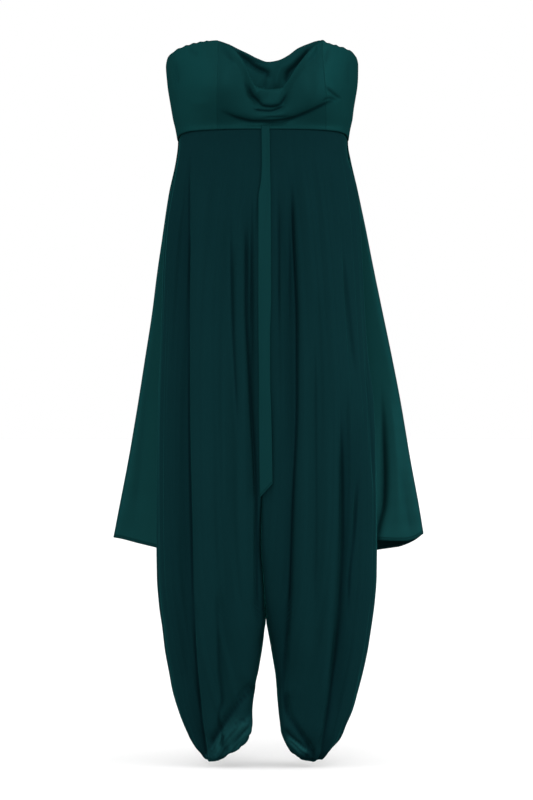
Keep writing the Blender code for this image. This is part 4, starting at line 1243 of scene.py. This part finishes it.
# %% Gathers at the seam and the ankle
EASE_HEIGHT = 0.0004         # of the faint gathers under the seam
EASE_PITCH = 0.0150
EASE_DEPTH = 0.035
ANKLE_GATHERS = 6            # on each panel
ANKLE_HEIGHT = 0.0010
ANKLE_DEPTH = 0.034          # they open out over this height above the hem
SASH_CLEAR = 0.016           # nothing rises nearer to the centre than this, under the sash
RIPPLE_START = 0.130         # depth at the front and the back, where x alone spaces the ripples
RIPPLE_TURN = 0.8            # further back they are spaced by this share of the depth too
RIPPLES_SET_IN = (0.01, 0.12)           # below the seam
LEG_FADE = 0.10              # of the creases
LEG_SEAMS = 0.08             # share of the width at each side that the seams hold flat
HEM_SEAMS = 0.06             # and at the ankle hem


def leg_shape(side, face):
    """All the folds of one leg panel."""
    key = (side, face)
    phase = {"left": 0.4, "right": 1.9}[side] + (0.7 if face == "back" else 0.0)

    def shape(u, v, plain):
        x, z = plain[:, 0], plain[:, 2]
        total = broad_folds(BROAD_FOLDS[key], x, z)
        total += creased(x, z, LEG_CREASES[key], LEG_FADE)
        round_leg = np.abs(x) + RIPPLE_TURN * (RIPPLE_START - np.abs(plain[:, 1]))
        total += rippled(round_leg, z, phase) * rise(-z, *RIPPLES_SET_IN)
        for middle_x, middle_z, radius, stand in POUCHES[key]:
            total += stand * np.exp(-((x - middle_x) ** 2 + (z - middle_z) ** 2) / radius ** 2)
        ease = np.sin(2.0 * math.pi * x / EASE_PITCH + 2.6 * np.sin(31.0 * x + phase))
        total += EASE_HEIGHT * ease * np.exp(z / EASE_DEPTH) * rise(-z, 0.006, 0.016)
        clear = rise(np.abs(x - TROUSERS["centre"](z)), SASH_CLEAR, 2.0 * SASH_CLEAR)
        total = np.where(total > 0.0, total * clear, total) if face == "front" else total
        return total * shown(u, LEG_SEAMS)

    return shape


def ankle_gathers(side, face):
    """How far the gathers at the hem push the cloth in and out, level with the floor."""
    phase = {"left": 0.9, "right": 2.6}[side] + (1.7 if face == "back" else 0.0)

    def gathers(u, v, plain):
        pull = rise(plain[:, 2], ANKLE_LEVEL + ANKLE_DEPTH, ANKLE_LEVEL)
        turn = 2.0 * math.pi * ANKLE_GATHERS * u + 1.6 * np.sin(7.0 * u + phase) + phase
        wave = np.sin(turn) + 0.35 * np.sin(2.3 * turn) - 0.5
        return ANKLE_HEIGHT * pull * shown(u, HEM_SEAMS) * wave

    return gathers


print("gathers on each ankle:", 2 * ANKLE_GATHERS)

# %% [markdown]
# Where a fold turns the crepe away from the light, a whole plane of the cloth gets painted shade,
# up to the crease that bounds it. So do the valleys, the hem where it turns in under the pouches,
# and the cloth under the bust, most at the seam.

# %% Painted shade and hem of the trousers
HEM_ROWS = 0.45              # height of the rows near the hem, as a share of the average one
PLANE_EDGE = 0.0008          # half width of the edge between a dark plane and a light one
PLANE_STARTS = (0.0, 0.18)   # shares of the crease over which a plane sets in
PLANE_ENDS = (0.94, 1.0)     # and ends
LINE_SHADE = 0.9
# Painted shade along the bottom of the ankle hems, where they turn in under the pouches.
HEM_SHADE = 0.9              # the gathered hems turn in under the pouches
HEM_SHADE_SHARE = 0.045      # over this share of the rows
# Painted shade under the bust: its strength at the seam, and the depth by which it fades out.
UNDER_BUST_PAINTED_SHADE = 0.28            # the eased cloth under the bust is drawn flatter, nap downwards
UNDER_BUST_SHADE_DEPTH = 0.480
# Planes of painted shade: number of the crease beside them, side of it (1 is the viewer's
# right seen from the front), strength and reach.
PAINTED_SHADE_PLANES = {
    ("left", "front"): ((0, -1.0, 0.60, 0.034), (2, 1.0, 0.35, 0.016)),
    ("right", "front"): ((1, -1.0, 0.55, 0.026), (4, 1.0, 0.70, 0.030)),
    ("left", "back"): ((0, -1.0, 0.60, 0.034), (1, 1.0, 0.40, 0.020)),
    ("right", "back"): ((0, -1.0, 0.50, 0.024), (2, 1.0, 0.60, 0.030)),
}


def ankle_hem(u, v, points, width, length):
    """Distance to the ankle hem, along the cloth."""
    return (1.0 - v) * length * HEM_ROWS


def leg_painted_shade(side, face):
    """How much painted shade lies on a leg panel, from 0 to 1."""
    def painted_shade(u, v, points, width, length):
        x, z = points[:, 0], points[:, 2]
        total = np.zeros(len(x))
        for number, way, strength, reach in PAINTED_SHADE_PLANES[(side, face)]:
            off, share = along_path(x, z, LEG_CREASES[(side, face)][number][3])
            beyond = np.maximum(way * off, 0.0)
            ends = rise(share, *PLANE_STARTS) * (1.0 - rise(share, *PLANE_ENDS))
            edge = rise(way * off, -PLANE_EDGE, PLANE_EDGE)
            total += strength * ends * edge * np.exp(-beyond / reach)
        total += shaded_lines(x, z, LEG_CREASES[(side, face)], LINE_SHADE, LEG_FADE)
        total += HEM_SHADE * rise(1.0 - v, HEM_SHADE_SHARE, 0.0)
        total += UNDER_BUST_PAINTED_SHADE * (1.0 - rise(-z, 0.0, UNDER_BUST_SHADE_DEPTH))
        return np.minimum(total, 1.0)

    return painted_shade


print("planes of darker nap:", sum(len(planes) for planes in PAINTED_SHADE_PLANES.values()))

# %% [markdown]
# At both ankles the gathers turn a little of the satin side out, beyond one of the creases, and
# it is painted lighter than the satin, as a highlight. On the left it gets painted bright streaks,
# which two waves of different lengths make uneven.

# %% Satin turned out at the ankles, with a painted highlight
LEFT_TUCK = 5                # numbers of the creases over which it is turned
RIGHT_TUCK = 9
PATCH_TOP = (-1.004, -0.972) # levels between which the left patch dies away
HIGHLIGHT_STREAK = 0.0150              # distance between its bright streaks


def turned_satin_and_highlights(u, v, points, width, length):
    """The patches near the ankles where the cloth turns its satin side out, painted lighter as a
    highlight and streaked on the left.
    """
    x, z = points[:, 0], points[:, 2]
    off, share = along_path(x, z, LEG_CREASES[("left", "front")][LEFT_TUCK][3])
    left = rise(off, 0.001, 0.006) * (1.0 - rise(z, *PATCH_TOP)) * rise(share, 0.05, 0.30)
    broad = np.sin(2.0 * math.pi * off / HIGHLIGHT_STREAK + 2.6 * np.sin(48.0 * z) + 0.8)
    fine = np.sin(5.3 * math.pi * off / HIGHLIGHT_STREAK + 3.4 * np.sin(61.0 * x))
    left = left * (0.60 + 0.26 * broad + 0.14 * fine)
    off, share = along_path(x, z, LEG_CREASES[("right", "front")][RIGHT_TUCK][3])
    right = rise(-off, 0.000, 0.004) * (1.0 - rise(-off, 0.009, 0.016))
    right = right * rise(share, 0.15, 0.40) * (1.0 - rise(share, 0.90, 1.0))
    return np.where(x < 0.0, left, right)


print("streaks every", HIGHLIGHT_STREAK * 1000.0, "mm")

# %% [markdown]
# Now the four panels can be made: a front and a back for each leg, with the crepe side out.

# %% Make the four leg panels
for side, towards in (("left", 1.0), ("right", -1.0)):
    for face, columns, rows in (("front", 200, 170), ("back", 130, 150)):
        cloth_piece("leg_%s_%s" % (face, side), "crepe", leg_surface(side, face), columns, rows,
                    CREPE_WALL, towards, leg_shape(side, face),
                    drawn=ankle_gathers(side, face), hem=ankle_hem, painted_shade=leg_painted_shade(side, face),
                    satin_side_and_highlight=turned_satin_and_highlights if face == "front" else None)

# %% [markdown]
# ## Sash
# The sash is a long folded strip caught in the seam at the centre front. It is pressed nearly
# flat, gets a little wider where it leaves the seam, and its end is cut on the slant.

# %% Make the sash
SASH = table(
    ("level", "left", "right"),
    (0.000, -0.0088, 0.0052),
    (-0.060, -0.0080, 0.0060),
    (-0.090, -0.0092, 0.0066),
    (-0.122, -0.0136, 0.0072),
    (-0.290, -0.0138, 0.0080),
    (-0.345, -0.0136, 0.0062),
    (-0.430, -0.0128, 0.0064),
    (-0.475, -0.0130, 0.0080),
    (-0.620, -0.0112, 0.0107),
)
SASH_WALL = 0.0012
SASH_CLEARANCE = 0.0008
SASH_END_LEFT = -0.6160
SASH_END_RIGHT = -0.5930
SASH_WIDTH = 0.020           # from which the distance to its long edges is counted
SASH_STAND = 0.0004          # it stands off the trousers by this much more
SASH_ROLL = (0.0016, 0.0006) # width and depth of its pressed edges
# Painted shade over all of the sash.
SASH_PAINTED_SHADE = 0.50
SASH_CREASES = (
    (0.0006, 0.0000, 0.0030, ((-0.0010, -0.0050), (0.0000, -0.1000), (-0.0050, -0.1800))),
    (-0.0005, 0.0000, 0.0030, ((-0.0080, -0.2000), (-0.0070, -0.3400), (-0.0060, -0.5200))),
)


def sash_surface(u, v):
    """Outer face of the sash, just in front of the centre seam of the trousers."""
    end = SASH_END_LEFT + (SASH_END_RIGHT - SASH_END_LEFT) * u
    level = -GAP / 2 + (end + GAP / 2) * v
    x = SASH["left"](level) + (SASH["right"](level) - SASH["left"](level)) * u
    y = -(TROUSERS["front"](level) + SASH_CLEARANCE + SASH_WALL)
    return np.column_stack((x, y, level))


def sash_shape(u, v, plain):
    edge = np.minimum(u, 1.0 - u) * SASH_WIDTH
    lies = creased(plain[:, 0], plain[:, 2], SASH_CREASES) + SASH_STAND
    return lies + rolled_in(edge, *SASH_ROLL)


cloth_piece("sash", "satin", sash_surface, 16, 200, SASH_WALL, -1.0, sash_shape,
            painted_shade=lambda u, v, points, width, length: np.full(len(u), SASH_PAINTED_SHADE),
            hem=lambda u, v, points, width, length: (1.0 - v) * length)

# %% [markdown]
# ## Overskirt
# The overskirt is one wide flared panel, open at the front. It lies close over the trousers at
# the seam and swings away from them below. At each side it turns forward round a soft edge, so
# from the front a near layer shows first and the inside of the far one below its hem.

# %% Sizes of the overskirt
SKIRT_LOWEST = -0.735
OVERSKIRT = table(
    ("level", "left", "right", "edge_y", "behind"),
    (0.000, -0.1494, 0.1376, -0.002, 0.0000),
    (-0.021, -0.1495, 0.1378, -0.001, 0.0004),
    (-0.053, -0.1536, 0.1434, 0.003, 0.0015),
    (-0.104, -0.1650, 0.1553, 0.008, 0.0060),
    (-0.159, -0.1738, 0.1675, 0.013, 0.0120),
    (-0.240, -0.1862, 0.1842, 0.020, 0.0190),
    (-0.312, -0.1958, 0.1997, 0.026, 0.0250),
    (-0.384, -0.2075, 0.2150, 0.031, 0.0310),
    (-0.455, -0.2190, 0.2292, 0.036, 0.0370),
    (-0.556, -0.2368, 0.2470, 0.042, 0.0460),
    (-0.640, -0.2536, 0.2632, 0.047, 0.0540),
    (SKIRT_LOWEST, -0.2724, 0.2790, 0.050, 0.0630),
)
SKIRT_CLEARANCE = 0.0020     # its outer face over the trousers: gap and wall
SKIRT_EDGE_AHEAD = 0.012     # at the top its front edges lap this far over the leg fronts
SKIRT_LAP_END = 0.014        # and turn in behind the legs once it stands out this far
SKIRT_TURN = 0.018           # half length of the turn at the widest line of a flare
TURN_SHARE = 0.45            # but at most this share of the near layer
SKIRT_FADE = 0.38            # share of the way round over which a flare dies away
NEAR_SHARE = 0.16            # share of the columns in front of each flare's widest line
NEAR_POINTS = 61
BACK_POINTS = 241
FLARE_GUESSES = 4
SKIRT_HEM = table(
    ("round", "height"),
    (0.00, -0.7100), (0.08, -0.7000), (0.14, -0.6925), (0.16, -0.6915), (0.25, -0.6990),
    (0.50, -0.7230), (0.70, -0.7190), (0.74, -0.7146), (0.78, -0.7045), (0.80, -0.6975),
    (0.84, -0.6845), (0.87, -0.6930), (0.90, -0.6968), (1.00, -0.6930),
)["height"]
FLUTE_COLUMNS = ("round", "half_width", "swing")
FLUTES = (
    (0.27, 0.026, 0.0080),
    (0.34, 0.030, -0.0110),
    (0.42, 0.028, 0.0120),
    (0.50, 0.032, -0.0100),
    (0.58, 0.028, 0.0110),
    (0.66, 0.032, -0.0120),
    (0.73, 0.026, 0.0080),
)
FLUTE_TOP = -0.180
FLUTE_FOOT = -0.720
SKIRT_ROWS = table(
    ("rows", "length"),
    (0.00, 0.000), (0.30, 0.200), (1.00, 1.000),
)["length"]


print("overskirt at the hem, by column:",
      {column: round(float(edge(SKIRT_LOWEST)), 3) for column, edge in OVERSKIRT.items()})

# %% [markdown]
# The overskirt is drawn from what lies under it: the ring of the trousers, moved out by a
# clearance. Where the cloth turns forward, the sharp corner of the line is rounded by a curve
# through its two ends that is pulled towards the corner.

# %% Lines for the overskirt
def square_to(line):
    """Unit vectors to the left of a line's direction."""
    along = np.gradient(line, axis=0)
    along /= np.maximum(np.hypot(along[:, 0], along[:, 1]), 1e-9)[:, None]
    return np.column_stack((-along[:, 1], along[:, 0]))


def skirt_under(level):
    """The trousers at a level from centre front round the back, moved out by the clearance."""
    line = np.vstack((
        leg_ring("left", "front")(level),
        leg_ring("left", "back", sunk=False)(level)[1:],
        leg_ring("right", "back", sunk=False)(level)[::-1][1:],
        leg_ring("right", "front")(level)[::-1][1:],
    ))
    line = evenly(line, np.linspace(0.0, 1.0, 401), 0.0)
    return line + square_to(line) * SKIRT_CLEARANCE


def rear(line, left_y, right_y):
    """The stretch of a ring that lies behind left_y on its left and right_y on its right."""
    half = int(np.argmax(line[:, 1]))
    left, right = line[:half], line[half:][::-1]
    start = (np.interp(left_y, left[:, 1], left[:, 0]), left_y)
    end = (np.interp(right_y, right[:, 1], right[:, 0]), right_y)
    return np.vstack((start, left[left[:, 1] > left_y], right[right[:, 1] > right_y][::-1], end))


def turned_corner(line, corner, reach):
    """A line whose corner is rounded between two points that far from it, in two parts."""
    length = np.concatenate(([0.0], np.cumsum(np.hypot(*np.diff(line, axis=0).T))))
    middle = length[corner]
    before = [np.interp(middle - reach, length, line[:, i]) for i in (0, 1)]
    after = [np.interp(middle + reach, length, line[:, i]) for i in (0, 1)]
    t = np.linspace(0.0, 1.0, 31)[:, None]
    bend = (1 - t) ** 2 * before + 2 * t * (1 - t) * line[corner] + t ** 2 * after
    return (np.vstack((line[length < middle - reach], bend[:16])),
            np.vstack((bend[15:], line[length > middle + reach])))


print("clear of the trousers by", SKIRT_CLEARANCE * 1000.0, "mm")

# %% [markdown]
# A ring has three stretches: a near one in front of each flare's widest line and a long one
# behind. How far a side has to swing out isn't known beforehand, so the ring is drawn a few
# times, and each time the swing is corrected by what is still missing to the wanted width.

# %% Rings of the overskirt
def flared(under, base, outward, size, left_flare, right_flare):
    """The ring of the overskirt when its sides stand that far off the trousers."""
    share = np.linspace(0.0, 1.0, len(base))
    out = left_flare * (1.0 - rise(share, 0.0, SKIRT_FADE))
    out = out + right_flare * rise(share, 1.0 - SKIRT_FADE, 1.0)
    out = out + size["behind"] * rise(share, 0.0, 0.25) * (1.0 - rise(share, 0.75, 1.0))
    main = base + outward * out[:, None]
    edges = []
    for flare in (left_flare, right_flare):
        ahead = SKIRT_EDGE_AHEAD * (1.0 - float(rise(flare, 0.0, SKIRT_LAP_END)))
        edges.append(size["edge_y"] - ahead)
    lapped = rear(under, *edges)
    near = np.linspace(0.0, 1.0, NEAR_POINTS)
    near_left = evenly(np.vstack((lapped[0], main[0])), near, 0.0)
    near_right = evenly(np.vstack((main[-1], lapped[-1])), near, 0.0)
    line = np.vstack((near_left, main[1:-1], near_right))
    reach = min(SKIRT_TURN, TURN_SHARE * np.linalg.norm(near_left[-1] - near_left[0]))
    left_part, rest = turned_corner(line, len(near_left) - 1, reach)
    reach = min(SKIRT_TURN, TURN_SHARE * np.linalg.norm(near_right[-1] - near_right[0]))
    back_part, right_part = turned_corner(rest, len(rest) - len(near_right), reach)
    return np.vstack((
        evenly(left_part, near, 0.0),
        evenly(back_part, np.linspace(0.0, 1.0, BACK_POINTS), 0.0)[1:],
        evenly(right_part, near, 0.0)[1:],
    ))


def skirt_ring(level):
    """The overskirt at a level, from its left front edge round the back to its right one."""
    under = skirt_under(level)
    size = {name: float(curve(level)) for name, curve in OVERSKIRT.items()}
    base = evenly(rear(under, size["edge_y"], size["edge_y"]), np.linspace(0.0, 1.0, 301), 0.0)
    outward = square_to(base)
    flares = [max(0.0, (size["left"] - base[0, 0]) / outward[0, 0]),
              max(0.0, (size["right"] - base[-1, 0]) / outward[-1, 0])]
    for _ in range(FLARE_GUESSES):
        ring = flared(under, base, outward, size, *flares)
        flares[0] = max(0.0, flares[0] + ring[:, 0].min() - size["left"])
        flares[1] = max(0.0, flares[1] - ring[:, 0].max() + size["right"])
    return ring


class SkirtRings(Rings):
    """Rings of the overskirt: the widest line of each flare keeps its own column."""

    def __init__(self, places=321, levels=221):
        self.levels = np.linspace(SKIRT_LOWEST, 0.0, levels)
        shares = np.linspace(0.0, 1.0, places)
        marks = np.concatenate((
            np.linspace(0.0, NEAR_SHARE, NEAR_POINTS),
            np.linspace(NEAR_SHARE, 1.0 - NEAR_SHARE, BACK_POINTS)[1:],
            np.linspace(1.0 - NEAR_SHARE, 1.0, NEAR_POINTS)[1:],
        ))
        self.points = np.array([
            np.column_stack([np.interp(shares, marks, ring[:, i]) for i in (0, 1)])
            for ring in (skirt_ring(level) for level in self.levels)
        ])


print("a ring of the overskirt has", len(skirt_ring(SKIRT_LOWEST)), "points")

# %% [markdown]
# The satin of the near layers is smooth but for a few creases, with painted shade along them, and
# low on the two flares it gets a painted highlight. The back hangs in soft flutes that deepen to
# the hem.

# %% Make the overskirt
skirt_rings = SkirtRings()
skirt_tops = skirt_rings.edge_level(lambda x, y: SEAM(y) - GAP / 2, 0.0)
SKIRT_CREASE_FADE = 0.30
SKIRT_EDGE_PLAIN = 0.03      # share of the way round over which they set in at the front edges
SKIRT_ROUND = 1.1            # its length round in m, by which the ripples are spaced
SKIRT_RIPPLE = 0.4           # their height, as a share of those of the trousers
BEHIND = 0.05                # share of the way round over which ripples and glow pass over
# Creases of its near layers, as seen from the front, and of its back.
SKIRT_NEAR_CREASES = (
    (-0.0058, 0.0034, 0.0052, (
        (0.1950, -0.4100), (0.2008, -0.5315), (0.2026, -0.5870), (0.2013, -0.6340),
        (0.1940, -0.6640), (0.1800, -0.7300), (0.1740, -0.8400)), 0.42),
    (0.0040, 0.0000, 0.0110, (
        (0.2060, -0.4200), (0.2180, -0.5200), (0.2250, -0.6200), (0.2220, -0.7000))),
    (-0.0016, 0.0000, 0.0080, ((0.2280, -0.5600), (0.2420, -0.6500), (0.2500, -0.7000))),
    (-0.0012, 0.0000, 0.0090, ((-0.1980, -0.3800), (-0.2140, -0.5200), (-0.2300, -0.6900))),
    (0.0016, 0.0000, 0.0110, ((-0.2100, -0.4600), (-0.2260, -0.5800), (-0.2460, -0.6900))),
)


def skirt_surface(u, v):
    """Outer face of the overskirt, from its left front edge round the back to its right one."""
    top = np.interp(u, EDGE_PLACES, skirt_tops)
    level = top + (SKIRT_HEM(u) - top) * SKIRT_ROWS(v)
    return np.column_stack((skirt_rings.at(u, level), level))


# Painted highlight on the flares: its strength on the left and the right, and the depths over which
# it grows.
HIGHLIGHT_SHARES = (0.12, 0.36)   # left and right
HIGHLIGHT_HEIGHTS = (0.36, 0.58)  # it grows between these depths below the origin


def skirt_near(u):
    """1 on the two layers in front of the widest lines, 0 behind them."""
    return ((u < NEAR_SHARE) | (u > 1.0 - NEAR_SHARE)) * 1.0


def skirt_shape(u, v, plain):
    x, z = plain[:, 0], plain[:, 2]
    total = np.zeros(len(u))
    for row in FLUTES:
        flute = dict(zip(FLUTE_COLUMNS, row))
        total += flute["swing"] * np.exp(-((u - flute["round"]) / flute["half_width"]) ** 2)
    total = total * np.clip((FLUTE_TOP - z) / (FLUTE_TOP - FLUTE_FOOT), 0.0, 1.0)
    inwards = np.minimum(u, 1.0 - u)
    from_edge = rise(inwards, 0.0, SKIRT_EDGE_PLAIN)
    total += skirt_near(u) * from_edge * creased(x, z, SKIRT_NEAR_CREASES, SKIRT_CREASE_FADE)
    behind = rise(inwards, NEAR_SHARE, NEAR_SHARE + BEHIND)
    total += SKIRT_RIPPLE * behind * rippled(SKIRT_ROUND * u, z, 0.8) * rise(-z, 0.05, 0.30)
    return total + rolled_in(-z) * (z > -0.03)


def skirt_painted_highlight(u, v, points, width, length):
    """A painted highlight low on the two flares, stronger on the right."""
    near = rise(np.minimum(u, 1.0 - u), NEAR_SHARE + BEHIND, NEAR_SHARE)
    share = np.where(points[:, 0] < 0.0, *HIGHLIGHT_SHARES)
    return share * near * rise(-points[:, 2], *HIGHLIGHT_HEIGHTS)


def skirt_hem(u, v, points, width, length):
    """Distance to the nearest of its lower hem and its two front edges."""
    return np.minimum(np.minimum(u, 1.0 - u) * width, (1.0 - v) * length)


# Painted shade along the creases of the two near layers.
def skirt_painted_shade(u, v, points, width, length):
    x, z = points[:, 0], points[:, 2]
    lines = shaded_lines(x, z, SKIRT_NEAR_CREASES, 1.0, SKIRT_CREASE_FADE)
    return np.minimum(lines, 1.0) * skirt_near(u)


cloth_piece("overskirt", "satin", skirt_surface, 280, 130, CREPE_WALL, 1.0, skirt_shape,
            hem=skirt_hem, satin_side_and_highlight=skirt_painted_highlight, painted_shade=skirt_painted_shade)
